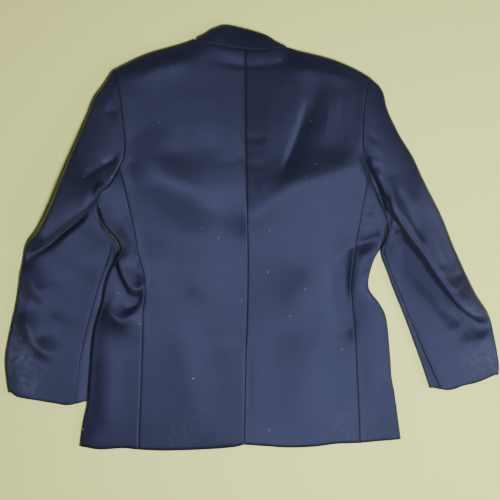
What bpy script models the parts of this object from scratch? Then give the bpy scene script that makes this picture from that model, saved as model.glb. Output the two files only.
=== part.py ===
"""Navy wool blazer laid face down on a floor, back up. Metres, +Z up, collar towards +Y.

Each panel is a grid of points on the coat's outer face: its outline in plan comes from short tables
read off the photo, its height from one function of place that adds the folds to a low rise. The
grids share their points at the seams, are thickened inward along shared normals, and each is drawn
in by half a seam gap.
"""
import math

import bmesh
import bpy
import numpy as np

MM = 0.001
WALL = 2.0              # cloth with its inner layer, mm
SEAM_GAP = 0.32         # between two panels at a seam, mm
EDGE_INSET = 7.0        # plan depth of the rounded edge of the flattened tube, mm
ROLL_STEPS = 4          # steps around a rounded edge, top to bottom
INNER_INSET = 4.0       # the same at the sleeves' inner edges, mm
EDGE_TAPER = 26.0       # run over which a rounded edge opens from a flat crotch, mm
REST_HEIGHT = 13.0      # outer height of two plies with air between them, mm
SHOULDER_RISE = 12.0    # added where the shoulders and blades keep their shape, mm
LAPEL_LIFT = 2.4        # height of the front above a lapel that lies on the floor, mm
VENT_TOP = -221.0       # where the centre vent starts, mm up from the middle of the coat
VENT_WIDTH = 34.0       # width of the underlap, mm
VENT_LIFT = 2.4         # how far the overlapping panel is raised, mm
BREAK_POINT = -75.0     # where the lapels start to turn, mm
FRONT_OPENING = 9.0     # from the centre line to each front edge, mm
BUTTON_RADIUS = 10.0
BUTTON_THICK = 2.4
BUTTON_LIFT = 3.2
BUTTON_UP = (-92.0, -192.0)

# Lines in plan: (across, up) in mm from the middle of the coat.
CENTRE = ((-16, -403), (-13, -283), (-12, -221), (-9, -127), (-8, -33), (-10, 60), (-12, 184),
          (-13, 277), (-14, 380))
COLLAR_TOP = ((-113, 386), (-90, 399), (-77, 407), (-50, 415), (-10, 407), (27, 396), (52, 381), (74, 369))
COLLAR_LOW = ((-113, 386), (-75, 378), (-25, 369), (12, 366), (50, 370), (74, 369))
LINES = {
    "left": {
        "hem_back": ((-16, -403), (-39, -408), (-102, -413), (-174, -415), (-222, -413)),
        "hem_side": ((-222, -413), (-255, -410), (-300, -412), (-337, -407)),
        "side_seam": ((-222, -413), (-218, -313), (-215, -232), (-212, -138), (-208, -86), (-219, -43),
                      (-229, 12), (-242, 71), (-251, 113), (-258, 137)),
        "armhole": ((-273, 325), (-261, 287), (-253, 241), (-247, 196), (-248, 161), (-258, 137),
                    (-275, 105), (-292, 89), (-301, 72)),
        "shoulder": ((-113, 386), (-152, 374), (-209, 357), (-253, 336), (-273, 325)),
        "body_edge": ((-301, 72), (-300, 56), (-291, 27), (-275, 8), (-260, -10), (-258, -27), (-270, -47),
                      (-280, -66), (-289, -93), (-295, -129), (-308, -172), (-314, -213), (-318, -268),
                      (-322, -320), (-331, -363), (-337, -407)),
        "sleeve_outer": ((-273, 325), (-291, 296), (-308, 272), (-322, 236), (-340, 193), (-361, 144),
                         (-393, 74), (-418, 27), (-442, -11), (-451, -63), (-462, -129), (-477, -200),
                         (-482, -238), (-478, -295)),
        "sleeve_inner": ((-301, 72), (-301, 56), (-293, 27), (-278, 7), (-268, -8), (-269, -28), (-273, -47),
                         (-282, -66), (-291, -93), (-297, -129), (-310, -172), (-316, -213), (-320, -268),
                         (-324, -320)),
        "cuff": ((-478, -295), (-462, -312), (-423, -318), (-388, -323), (-357, -327), (-324, -320)),
        "hind_seam": ((-275, 105), (-293, 98), (-308, 83), (-315, 60), (-311, 34), (-299, 8), (-288, -14),
                      (-287, -34), (-293, -58), (-302, -88), (-312, -138), (-322, -182), (-333, -241),
                      (-342, -324)),
        "neck": ((-14, 380), (-50, 382), (-85, 384), (-113, 386)),
    },
    "right": {
        "hem_back": ((-16, -403), (23, -406), (73, -409), (122, -407), (162, -402), (210, -400)),
        "hem_side": ((210, -400), (250, -396), (291, -393)),
        "side_seam": ((210, -400), (207, -314), (204, -260), (202, -211), (195, -120), (192, -93), (200, -30),
                      (212, 44), (221, 99), (225, 136)),
        "armhole": ((231, 313), (221, 268), (215, 219), (215, 174), (225, 136), (237, 101), (251, 68),
                    (263, 35)),
        "shoulder": ((74, 369), (124, 357), (163, 346), (201, 330), (231, 313)),
        "body_edge": ((263, 35), (262, 12), (256, -14), (237, -46), (228, -79), (230, -102), (251, -131),
                      (263, -160), (270, -228), (273, -272), (279, -306), (291, -393)),
        "sleeve_outer": ((231, 313), (254, 288), (265, 248), (287, 201), (313, 158), (334, 113), (370, 44),
                         (397, -19), (435, -98), (462, -144), (472, -186), (482, -241), (482, -268)),
        "sleeve_inner": ((263, 35), (264, 12), (259, -14), (250, -35), (262, -63), (277, -104), (297, -153),
                         (315, -202), (332, -249), (347, -294)),
        "cuff": ((482, -268), (441, -283), (414, -289), (384, -298), (347, -294)),
        "hind_seam": ((243, 87), (258, 78), (270, 60), (277, 36), (276, 5), (270, -30), (278, -60),
                      (290, -85), (312, -137), (332, -191), (348, -235), (366, -297)),
        "neck": ((-14, 380), (20, 376), (50, 371.5), (74, 369)),
    },
}

# Folds: name, path in plan (mm), height (mm, below zero a trough), width on the path's left and
# right (mm), lean of the crest towards the left (mm).
FOLDS = (
    ("left sleeve roll", ((-280, 112), (-324, 68), (-380, 25), (-446, -36)), 15, 22, 36, 6),
    ("left sleeve crease", ((-296, 74), (-345, 34), (-402, -7), (-440, -42)), -7, 12, 14, 0),
    ("left sleeve valley", ((-252, 162), (-287, 134), (-349, 97), (-398, 41)), -5, 26, 30, 0),
    ("left forearm ridge", ((-452, -50), (-432, -86), (-405, -130)), 7, 24, 24, 0),
    ("left cuff ridge", ((-466, -150), (-437, -172), (-424, -203), (-396, -235)), 7, 24, 18, 0),
    ("left cuff trough", ((-440, -196), (-400, -190), (-368, -180)), -5, 18, 18, 0),
    ("right sleeve roll", ((250, 170), (279, 70), (304, 22), (337, -20), (378, -74), (425, -127),
                           (470, -166)), 18, 36, 25, -4),
    ("right sleeve shadow", ((262, 29), (292, -14), (335, -72), (378, -123), (413, -152), (458, -166)),
     -6, 17, 20, 0),
    ("left waist lip", ((-258, -22), (-253, -66), (-230, -104), (-205, -84)), 7, 20, 14, 0),
    ("left waist trough", ((-206, -88), (-218, -125), (-252, -145)), -6, 16, 20, 0),
    ("left waist vee", ((-297, -126), (-254, -160), (-214, -132)), 6, 18, 18, 0),
    ("right waist trough", ((256, 5), (210, -16), (196, -74), (197, -121), (207, -180), (218, -215)),
     -7, 16, 20, 0),
    ("right waist ridge", ((240, -10), (222, -45), (206, -82)), 7, 16, 16, 0),
    ("right blade trough", ((132, 302), (117, 259), (88, 197), (62, 129), (10, 66)), -6, 30, 34, 0),
    ("right blade ridge", ((6, 60), (68, 92), (130, 105), (193, 130), (214, 150)), 7, 40, 34, 0),
    ("left blade band", ((-244, 195), (-168, 125), (-105, 70), (-50, 10)), 5, 36, 40, 0),
    ("collar crease", ((-112, 352), (-60, 341), (-12, 338), (50, 343), (102, 352)), -5, 18, 14, 0),
    ("left skirt fold", ((-110, -390), (-118, -260), (-140, -150)), 4, 34, 34, 0),
    ("right skirt fold", ((110, -390), (118, -270), (140, -160)), 4, 34, 34, 0),
)
EDGE_DROP = 4.0
EDGE_WIDTH = 22.0

# Sampling: body rows from the underarm down, sleeve rows from the shoulder to the cuff.
BODY_ROWS = np.array((0, .07, .14, .20, .25, .295, .34, .385, .43, .475, .525, .58, .65, .73, .82, .91, 1))
SLEEVE_ROWS = np.array((0, .045, .09, .135, .18, .225, .27, .32, .37, .42, .47, .53, .59, .65, .71, .78,
                        .85, .92, 1))
RELAX_ROUNDS = 250
ARM_STEPS = 8
SCYE_STEPS = 2
STRIP_STEPS = 3
FORE_START = 5          # armhole step where the forearm seam begins under the sleeve
NECK_STEPS = 5
SHOULDER_STEPS = 7
BACK_ROWS = np.r_[(1 - BODY_ROWS[::-1]) * 0.73, .77, .81, .85, .89, .925, .955, .98, 1]
BREAK_SHARE = 0.40
FORE_SHARE = 0.55       # where the forearm seam meets the cuff, as a share of its width
FORE_BOW = 42.0

# Lapel and collar leaf: place along the fold, width, sweep of the edge towards the neck (mm).
LAPEL_STEPS = 9
LAPEL_SECTIONS = ((0.04, 6, 0), (0.25, 46, 0), (0.5, 74, 4), (0.72, 88, 14))
LEAF_SECTIONS = ((0.732, 56, 12), (0.85, 54, 6), (0.955, 46, 0))
COLLAR_ENDS = (0.05, 0.95)
COLLAR_CLEAR = 0.6
COLLAR_STEPS = 16
COLLAR_ROLL = 4.0
COLLAR_TOP_Z = 12.5
COLLAR_LOW_Z = 4.0

PANEL_COLOUR = (0.040, 0.050, 0.105, 1.0)
BUTTON_COLOUR = (0.030, 0.026, 0.024, 1.0)


def spline(points, steps=16):
    """A smooth line through the points, densely sampled (Catmull-Rom, end tangents mirrored)."""
    p = np.array(points, float)
    p = np.vstack([2 * p[0] - p[1], p, 2 * p[-1] - p[-2]])
    t = np.linspace(0.0, 1.0, steps, endpoint=False)[:, None]
    rows = []
    for i in range(1, len(p) - 2):
        a, b, c, d = p[i - 1], p[i], p[i + 1], p[i + 2]
        rows.append(0.5 * (2 * b + (c - a) * t + (2 * a - 5 * b + 4 * c - d) * t ** 2
                           + (3 * b - a - 3 * c + d) * t ** 3))
    rows.append(p[-2][None, :])
    return np.vstack(rows)


def run_of(line):
    return np.r_[0.0, np.cumsum(np.hypot(*np.diff(line, axis=0).T))]


def along(line, fractions, values=None):
    """Points (or values carried by the line) at fractions of its length."""
    run = run_of(line)
    values = line if values is None else values
    at = np.asarray(fractions) * run[-1]
    return np.column_stack([np.interp(at, run, values[:, k]) for k in range(values.shape[1])])


def pinned(line, fractions, start, end):
    """Points along a line whose ends are drawn to two given points."""
    p = along(line, fractions)
    s = np.asarray(fractions)[:, None]
    return p + (np.asarray(start) - p[0]) * (1 - s) + (np.asarray(end) - p[-1]) * s


def fraction_near(line, point):
    """The fraction of a line's length at the place nearest to a point."""
    run = run_of(line)
    return run[np.argmin(np.hypot(*(line - np.array(point)).T))] / run[-1]


def outward(line, side):
    """Unit normals in plan on the given side (+1 left of the line's run, -1 right)."""
    d = np.gradient(line, axis=0)
    n = np.column_stack([-d[:, 1], d[:, 0]]) * side
    return n / np.linalg.norm(n, axis=1)[:, None]


def nearest(points, line):
    """Signed distance to a line (left is positive), fraction of its length and unit left normal."""
    a, b = line[:-1], line[1:]
    d = b - a
    long2 = (d ** 2).sum(1)
    rel = points[:, None, :] - a[None]
    t = np.clip((rel * d[None]).sum(2) / long2[None], 0.0, 1.0)
    off = rel - t[..., None] * d[None]
    dist = np.hypot(off[..., 0], off[..., 1])
    k = dist.argmin(1)
    rows = np.arange(len(points))
    run = np.r_[0.0, np.cumsum(np.sqrt(long2))]
    frac = (run[k] + t[rows, k] * np.sqrt(long2[k])) / run[-1]
    normal = np.column_stack([-d[k, 1], d[k, 0]]) / np.sqrt(long2[k])[:, None]
    sign = np.where((off[rows, k] * normal).sum(1) < 0, -1.0, 1.0)
    return sign * dist[rows, k], frac, normal


def smooth(x):
    x = np.clip(x, 0.0, 1.0)
    return x * x * (3 - 2 * x)


def top_place(plan):
    """Outer face of the upper ply over plan points: (across, up, height), folds and lean included."""
    p = np.asarray(plan, float).reshape(-1, 2)
    rise = smooth((p[:, 1] + 20) / 190) * (1 - 0.8 * smooth((p[:, 1] - 165) / 215))
    out = np.column_stack([p, REST_HEIGHT + SHOULDER_RISE * rise])
    for _name, path, height, left, right, lean in FOLDS:
        dist, frac, normal = nearest(p, spline(path, 6))
        width = np.where(dist > 0, left, right)
        hump = np.exp(-(dist / width) ** 2) * smooth(np.minimum(frac, 1 - frac) / 0.3)
        out[:, 2] += height * hump
        out[:, :2] += normal * (lean * hump)[:, None]
    drop = np.zeros(len(p))
    for half in LINES.values():
        for key in ("body_edge", "sleeve_outer", "sleeve_inner", "shoulder"):
            dist, _frac, _normal = nearest(p, spline(half[key], 5))
            drop = np.maximum(drop, np.exp(-(dist / EDGE_WIDTH) ** 2))
    out[:, 2] = np.maximum(out[:, 2] - EDGE_DROP * drop, 8.8)
    return out.reshape(np.shape(plan)[:-1] + (3,))


def under_place(plan):
    """Outer face of the lower ply: flat on the floor, raised over the lapels and the buttons."""
    p = np.asarray(plan, float).reshape(-1, 2)
    x = p[:, 0] + 10
    lift = LAPEL_LIFT * smooth((p[:, 1] - BREAK_POINT + 22) / 22) * smooth((200 - abs(x)) / 30)
    for up in BUTTON_UP:
        away = np.hypot(p[:, 0] - button_across(), p[:, 1] - up)
        lift = np.maximum(lift, BUTTON_LIFT * smooth((74 - away) / 38) * smooth((p[:, 0] + 16) / 16))
    return np.column_stack([p, lift]).reshape(np.shape(plan)[:-1] + (3,))


def button_across():
    return -8.0 + FRONT_OPENING + 18.0


def coons(bottom, top, left, right, v):
    """Points inside four border lines; rows run from the bottom line to the top line."""
    u = run_of(top) / run_of(top)[-1]
    u, v = u[None, :, None], np.asarray(v)[:, None, None]
    corners = ((1 - u) * (1 - v) * bottom[0] + u * (1 - v) * bottom[-1]
               + (1 - u) * v * top[0] + u * v * top[-1])
    sides = (1 - v) * bottom[None] + v * top[None] + (1 - u) * left[:, None] + u * right[:, None]
    return sides - corners


def relax(grid):
    """The inner points of a plan grid moved until its rows and columns are smooth and uncrossed."""
    g = grid.copy()
    for _round in range(RELAX_ROUNDS):
        du = (g[1:-1, 2:] - g[1:-1, :-2]) / 2
        dv = (g[2:, 1:-1] - g[:-2, 1:-1]) / 2
        twist = (g[2:, 2:] - g[2:, :-2] - g[:-2, 2:] + g[:-2, :-2]) / 4
        a, c = (dv ** 2).sum(-1)[..., None], (du ** 2).sum(-1)[..., None]
        b = (du * dv).sum(-1)[..., None]
        middle = (a * (g[1:-1, 2:] + g[1:-1, :-2]) + c * (g[2:, 1:-1] + g[:-2, 1:-1]) - 2 * b * twist)
        g[1:-1, 1:-1] += 0.8 * (middle / (2 * (a + c)) - g[1:-1, 1:-1])
    return g


class Edge:
    """A rounded outer edge: its inset border, plan normals and depth at given fractions."""

    def __init__(self, line, normals, fractions, tapered=False, inset=EDGE_INSET):
        self.normal = along(line, fractions, normals)
        self.normal /= np.linalg.norm(self.normal, axis=1)[:, None]
        run = np.asarray(fractions) * run_of(line)[-1]
        self.depth = inset * (smooth(run / EDGE_TAPER) if tapered else np.ones(len(run)))
        self.inset = along(line, fractions) - self.normal * self.depth[:, None]

    def roll(self):
        """Rings around the edge, from the upper ply's border to the lower ply's."""
        top, low = top_place(self.inset), under_place(self.inset)
        rows = []
        for k in range(ROLL_STEPS + 1):
            angle = math.pi * (0.5 - k / ROLL_STEPS)
            place = low + (top - low) * (1 + math.sin(angle)) / 2
            place[:, :2] += self.normal * (self.depth * math.cos(angle))[:, None]
            rows.append(place)
        return np.stack(rows, axis=1)


class Half:
    """One half of the coat: its border lines, sampled so that neighbours share their points."""

    def __init__(self, name):
        line = {key: spline(points) for key, points in LINES[name].items()}
        self.name = name
        self.hand = 1 if name == "left" else -1
        count = len(line["shoulder"]) - 1
        outline = np.vstack([line["shoulder"][:-1], line["sleeve_outer"]])
        normals = outward(outline, -self.hand)
        shoulder_at = np.linspace(0, 1, SHOULDER_STEPS + 1)
        self.shoulder = Edge(line["shoulder"], normals[:count + 1], shoulder_at, True)
        self.outer = Edge(line["sleeve_outer"], normals[count:], SLEEVE_ROWS)
        self.body = Edge(line["body_edge"], outward(line["body_edge"], -self.hand), BODY_ROWS, True)
        self.inner = Edge(line["sleeve_inner"], outward(line["sleeve_inner"], self.hand), SLEEVE_ROWS, True,
                          INNER_INSET)
        join = fraction_near(line["armhole"], line["side_seam"][-1])
        hind = fraction_near(line["armhole"], line["hind_seam"][0])
        steps = ((0, join, ARM_STEPS), (join, hind, SCYE_STEPS), (hind, 1, STRIP_STEPS))
        at = np.r_[0.0, np.concatenate([np.linspace(a, b, n + 1)[1:] for a, b, n in steps])]
        self.armhole = along(line["armhole"], at)
        draw = self.shoulder.inset[-1] - self.armhole[0]
        self.armhole += draw * (1 - smooth(at / 0.35))[:, None]
        self.join, self.hind = ARM_STEPS, ARM_STEPS + SCYE_STEPS
        seam_at = 1 - BODY_ROWS[::-1]
        self.side_seam = pinned(line["side_seam"], seam_at, line["side_seam"][0], self.armhole[self.join])
        self.line = line

    def back_edge(self):
        """The back's outer border from the hem: side seam, then armhole."""
        return np.vstack([self.side_seam, self.armhole[:self.join][::-1]])

    def back_plan(self):
        """The back's plan grid and, beyond its shoulder, the upper quarter of the rounded edge."""
        centre = along(spline(CENTRE), BACK_ROWS)
        neck = pinned(self.line["neck"], np.linspace(0, 1, NECK_STEPS + 1), centre[-1], self.shoulder.inset[0])
        top = np.vstack([neck, self.shoulder.inset[1:]])
        share = run_of(top) / run_of(top)[-1]
        hem = pinned(self.line["hem_back"], share, centre[0], self.side_seam[0])
        return coons(hem, top, centre, self.back_edge(), BACK_ROWS)

    def front_plan(self):
        """The front's plan grid: side seam and armhole to the front edge and the lapel's fold."""
        top = self.shoulder.inset[::-1]
        share = run_of(top) / run_of(top)[-1]
        reach = -8 - self.hand * FRONT_OPENING
        foot = along(self.line["hem_back"], [0.04])[0]
        foot[0] = reach - 4
        low_rows = BACK_ROWS[BACK_ROWS < BREAK_SHARE]
        low = np.column_stack([np.linspace(foot[0], reach, len(low_rows) + 1),
                               np.linspace(foot[1], BREAK_POINT, len(low_rows) + 1)])
        fold = pinned(np.array([low[-1], top[-1]]), np.linspace(0, 1, len(BACK_ROWS) - len(low_rows)),
                      low[-1], top[-1])
        edge = np.vstack([low[:-1], fold])
        hem = pinned(self.line["hem_back"][::-1], share, self.side_seam[0], foot)
        return coons(hem, top, self.back_edge(), edge, BACK_ROWS), fold

    def side_plan(self):
        top = self.armhole[self.join:]
        share = run_of(top) / run_of(top)[-1]
        edge = self.body.inset[::-1]
        hem = pinned(self.line["hem_side"], share, self.side_seam[0], edge[0])
        return relax(coons(hem, top, self.side_seam, edge, 1 - BODY_ROWS[::-1]))

    def sleeve_plans(self):
        """Plan grids from shoulder to cuff: upper ply to the hind seam, the strip inside it, and
        the lower ply on both sides of the forearm seam."""
        cuff = self.line["cuff"]
        outer, inner = self.outer.inset, self.inner.inset
        hem_at = fraction_near(cuff, self.line["hind_seam"][-1])
        whole = pinned(cuff, np.linspace(0, 1, 41), outer[-1], inner[-1])
        split = along(whole, [hem_at])[0]
        hind = pinned(self.line["hind_seam"], SLEEVE_ROWS, self.armhole[self.hind], split)
        fore_end = along(whole, [FORE_SHARE])[0]
        start = self.armhole[FORE_START]
        fore = pinned(np.array([start, fore_end]), SLEEVE_ROWS, start, fore_end)
        bow = np.sin(math.pi * SLEEVE_ROWS)[:, None] * self.outer.normal * FORE_BOW
        fore = fore + bow

        def patch(first, last, left, right, from_share, to_share):
            head = self.armhole[first:last + 1]
            share = run_of(head) / run_of(head)[-1]
            ends = share[:, None]
            foot = along(whole, from_share + (to_share - from_share) * share)
            foot += (left[-1] - foot[0]) * (1 - ends) + (right[-1] - foot[-1]) * ends
            return relax(coons(head, foot, left, right, SLEEVE_ROWS))

        count = len(self.armhole) - 1
        return {"upper": patch(0, self.hind, outer, hind, 0, hem_at),
                "strip": patch(self.hind, count, hind, inner, hem_at, 1),
                "lower_outer": patch(0, FORE_START, outer, fore, 0, FORE_SHARE),
                "lower_inner": patch(FORE_START, count, fore, inner, FORE_SHARE, 1)}


def vent_lift(plan):
    """The overlapping panel's raise over the vent's underlap."""
    centre = np.interp(plan[..., 1], [p[1] for p in CENTRE], [p[0] for p in CENTRE])
    across = smooth((VENT_WIDTH + 26 - (centre - plan[..., 0])) / 22)
    return VENT_LIFT * across * smooth((VENT_TOP + 30 - plan[..., 1]) / 26)


def panels(half):
    """Outer-face grids of one half, with the way their first face looks (+1 up, -1 down)."""
    back, side = half.back_plan(), half.side_plan()
    front, fold = half.front_plan()
    sleeve = half.sleeve_plans()
    out = {}

    face = top_place(back)
    if half.name == "left":
        face[..., 2] += vent_lift(back)
    half_roll = ROLL_STEPS // 2
    quarter = half.shoulder.roll()
    upper = np.full((half_roll,) + face.shape[1:], np.nan)
    upper[:, NECK_STEPS:] = quarter[:, 1:half_roll + 1].transpose(1, 0, 2)
    out["back_" + half.name] = (np.vstack([face, upper]), 1)

    lower = quarter[::-1, half_roll:-1].transpose(1, 0, 2)[::-1]
    out["front_" + half.name] = (np.vstack([under_place(front), lower]), -1)

    turn = half.body.roll()[::-1]
    out["side_" + half.name] = (np.hstack([top_place(side)[:, :-1], turn, under_place(side)[:, :-1][:, ::-1]]), 1)

    turn = half.outer.roll()
    out["top_sleeve_" + half.name] = (np.hstack([top_place(sleeve["upper"])[:, :0:-1], turn,
                                                 under_place(sleeve["lower_outer"])[:, 1:]]), 1)
    turn = half.inner.roll()
    out["under_sleeve_" + half.name] = (np.hstack([top_place(sleeve["strip"])[:, :-1], turn,
                                                   under_place(sleeve["lower_inner"])[:, :-1][:, ::-1]]), 1)
    out["lapel_" + half.name] = (lapel(half, fold, LAPEL_SECTIONS, LAPEL_STEPS), 1)
    out["collar_leaf_" + half.name] = (lapel(half, fold, LEAF_SECTIONS, 5), 1)
    return out


def lapel(half, fold, sections, steps):
    """A flat ply on the floor under the front, from its fold out to the edge."""
    fold = spline([fold[0], fold[len(fold) // 2], fold[-1]])
    at, width, sweep = (np.array(column, float) for column in zip(*sections))
    s = np.linspace(at[0], at[-1], steps + 1)
    normal = along(fold, s, outward(fold, half.hand))
    root = along(fold, s) + normal * 0.6
    w, k = np.interp(s, at, width), np.interp(s, at, sweep)
    axis = (fold[-1] - fold[0]) / np.linalg.norm(fold[-1] - fold[0])
    rows = []
    for t in np.linspace(0, 1, 5):
        rows.append(root + normal * (w * t)[:, None] + axis * (k * t)[:, None])
    plan = np.stack(rows, axis=1)
    return np.dstack([plan, np.full(plan.shape[:2], WALL)])


def collar():
    """The collar over the back of the neck: fall, fold and stand in one sheet."""
    top, low = spline(COLLAR_TOP), spline(COLLAR_LOW)
    s = np.linspace(COLLAR_ENDS[0], COLLAR_ENDS[1], COLLAR_STEPS + 1)
    crest, fall = along(top, s), along(low, s)
    normal = along(top, s, outward(top, 1))
    neck = np.vstack([spline(LINES["left"]["neck"])[::-1], spline(LINES["right"]["neck"])[1:]])
    seam = np.column_stack([fall[:, 0], np.interp(fall[:, 0], neck[:, 0], neck[:, 1]) + SEAM_GAP])
    room = np.hypot(*(crest - seam).T)
    depth = np.clip(0.35 * room, 2.2, COLLAR_ROLL)
    inset = crest - normal * depth[:, None]
    at_seam = top_place(seam - (0, 1))[:, 2]
    near = np.maximum(top_place(fall)[:, 2], at_seam) + WALL + COLLAR_CLEAR
    high = np.maximum(COLLAR_TOP_Z, near - 0.8 * (room - depth))
    deep = np.maximum(COLLAR_LOW_Z, at_seam - WALL - (room - depth))
    start = np.hypot(*(seam - fall).T) / np.hypot(*(inset - fall).T)
    rows = []
    for t in np.linspace(0, 1, 6):
        share = smooth((t - start) / (1 - start))
        rows.append(np.column_stack([fall + (inset - fall) * t, near + (high - near) * share]))
    for k in range(1, ROLL_STEPS):
        angle = math.pi * (0.5 - k / ROLL_STEPS)
        plan = inset + normal * (depth * math.cos(angle))[:, None]
        rows.append(np.column_stack([plan, (high + deep) / 2 + (high - deep) / 2 * math.sin(angle)]))
    for t in np.linspace(0, 1, 5):
        share = smooth(1 - t)
        rows.append(np.column_stack([inset + (seam - inset) * t,
                                     at_seam - WALL + (deep - at_seam + WALL) * share]))
    return np.stack(rows, axis=1), 1


def underlap(half):
    """The right panel's turned strip under the left panel's vent edge."""
    centre = along(spline(CENTRE), BACK_ROWS)
    centre = centre[centre[:, 1] <= VENT_TOP]
    rows = []
    for t in np.linspace(0, 1, 4):
        rows.append(top_place(centre - np.array([VENT_WIDTH * t, 0])))
    return np.stack(rows, axis=1), 1


def quads(grid, sign):
    """Vertices and faces of a grid, wound so that the first face looks the given way."""
    rows, cols = grid.shape[:2]
    keep = ~np.isnan(grid[..., 0])
    number = np.cumsum(keep).reshape(rows, cols) - 1
    faces = []
    for j in range(rows - 1):
        for i in range(cols - 1):
            if keep[j:j + 2, i:i + 2].all():
                faces.append((number[j, i], number[j, i + 1], number[j + 1, i + 1], number[j + 1, i]))
    points = grid[keep]
    faces = np.array(faces)
    if face_vectors(points, faces[::cols - 1])[:, 2].sum() * sign < 0:
        faces = faces[:, ::-1]
    return points, faces


def face_vectors(points, faces):
    return np.cross(points[faces[:, 2]] - points[faces[:, 0]], points[faces[:, 3]] - points[faces[:, 1]]) / 2


def key_of(point):
    return tuple(np.round(point, 1) + 0.0)


def shared_normals(sheets):
    """Vertex normals, common to every panel that meets at a seam point."""
    total = {}
    for points, faces in sheets.values():
        for vector, face in zip(face_vectors(points, faces), faces):
            for i in face:
                key = key_of(points[i])
                total[key] = total.get(key, 0) + vector
    return total


def thicken(points, faces, total):
    """A closed ply: the outer face drawn in at its border, and the inner face WALL below it."""
    vectors = face_vectors(points, faces)
    unit = vectors / np.linalg.norm(vectors, axis=1)[:, None]
    normal = np.array([total[key_of(p)] for p in points])
    normal /= np.linalg.norm(normal, axis=1)[:, None]
    lean = np.zeros(len(points))
    uses = np.zeros(len(points))
    for n, face in zip(unit, faces):
        lean[face] += normal[face] @ n
        uses[face] += 1
    reach = WALL / np.clip(lean / uses, 0.66, 1.0)

    edges = {}
    for k, face in enumerate(faces):
        for a, b in zip(face, np.roll(face, -1)):
            edges[(a, b)] = k
    border = [(a, b, k) for (a, b), k in edges.items() if (b, a) not in edges]
    pulls = {}
    for a, b, k in border:
        run = points[b] - points[a]
        inward = points[faces[k]].mean(0) - points[a]
        inward -= run * (inward @ run) / (run @ run)
        inward /= np.linalg.norm(inward)
        pulls.setdefault(a, []).append(inward)
        pulls.setdefault(b, []).append(inward)
    outer = points.copy()
    for i, pull in pulls.items():
        miter = sum(pull) / max(1 + pull[0] @ pull[-1], 0.06)
        outer[i] += miter * SEAM_GAP / 2
    inner = outer - normal * reach[:, None]
    count = len(points)
    shell = [tuple(f) for f in faces] + [tuple(f[::-1] + count) for f in faces]
    shell += [(b, a, a + count, b + count) for a, b, _k in border]
    return np.vstack([outer, inner]), shell


def material(name, colour, rough):
    made = bpy.data.materials.new(name)
    made.use_nodes = True
    shader = made.node_tree.nodes["Principled BSDF"]
    shader.inputs["Base Color"].default_value = colour
    shader.inputs["Roughness"].default_value = rough
    shader.inputs["Metallic"].default_value = 0.0
    made.diffuse_color = colour
    return made


def add_solid(name, points, faces, skin):
    mesh = bpy.data.meshes.new(name)
    mesh.from_pydata((np.asarray(points) * MM).tolist(), [], [tuple(int(i) for i in f) for f in faces])
    mesh.validate()
    work = bmesh.new()
    work.from_mesh(mesh)
    bmesh.ops.recalc_face_normals(work, faces=work.faces)
    work.to_mesh(mesh)
    work.free()
    mesh.materials.append(skin)
    solid = bpy.data.objects.new(name, mesh)
    bpy.context.scene.collection.objects.link(solid)
    return solid


def button(up):
    """A plain round button under the right front, its rim bevelled."""
    ring = []
    for radius, height in ((0.86, 0.0), (1.0, 0.18), (1.0, 0.82), (0.86, 1.0)):
        for k in range(24):
            angle = 2 * math.pi * k / 24
            ring.append((button_across() + BUTTON_RADIUS * radius * math.cos(angle),
                         up + BUTTON_RADIUS * radius * math.sin(angle), BUTTON_THICK * height))
    faces = [tuple(range(23, -1, -1)), tuple(range(72, 96))]
    for r in range(3):
        for k in range(24):
            faces.append((24 * r + k, 24 * r + (k + 1) % 24, 24 * r + 24 + (k + 1) % 24, 24 * r + 24 + k))
    return ring, faces


def build():
    for old in list(bpy.data.objects):
        bpy.data.objects.remove(old, do_unlink=True)
    cloth = material("navy_wool", PANEL_COLOUR, 0.9)
    horn = material("button", BUTTON_COLOUR, 0.45)
    halves = {name: Half(name) for name in ("left", "right")}
    grids = {}
    for half in halves.values():
        grids.update(panels(half))
    grids["collar"] = collar()
    grids["vent_underlap"] = underlap(halves["right"])
    sheets = {name: quads(grid, sign) for name, (grid, sign) in grids.items()}
    total = shared_normals(sheets)
    solids = {name: thicken(points, faces, total) for name, (points, faces) in sheets.items()}
    every = np.vstack([points for points, _faces in solids.values()])
    low, high = every.min(0), every.max(0)
    middle = np.array([(low[0] + high[0]) / 2, (low[1] + high[1]) / 2, low[2]])
    for name, (points, faces) in solids.items():
        add_solid(name, points - middle, faces, cloth)
    for k, up in enumerate(BUTTON_UP):
        points, faces = button(up)
        add_solid("front_button_%d" % (k + 1), np.array(points) - middle, faces, horn)


build()
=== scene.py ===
import functools
import math

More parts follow.
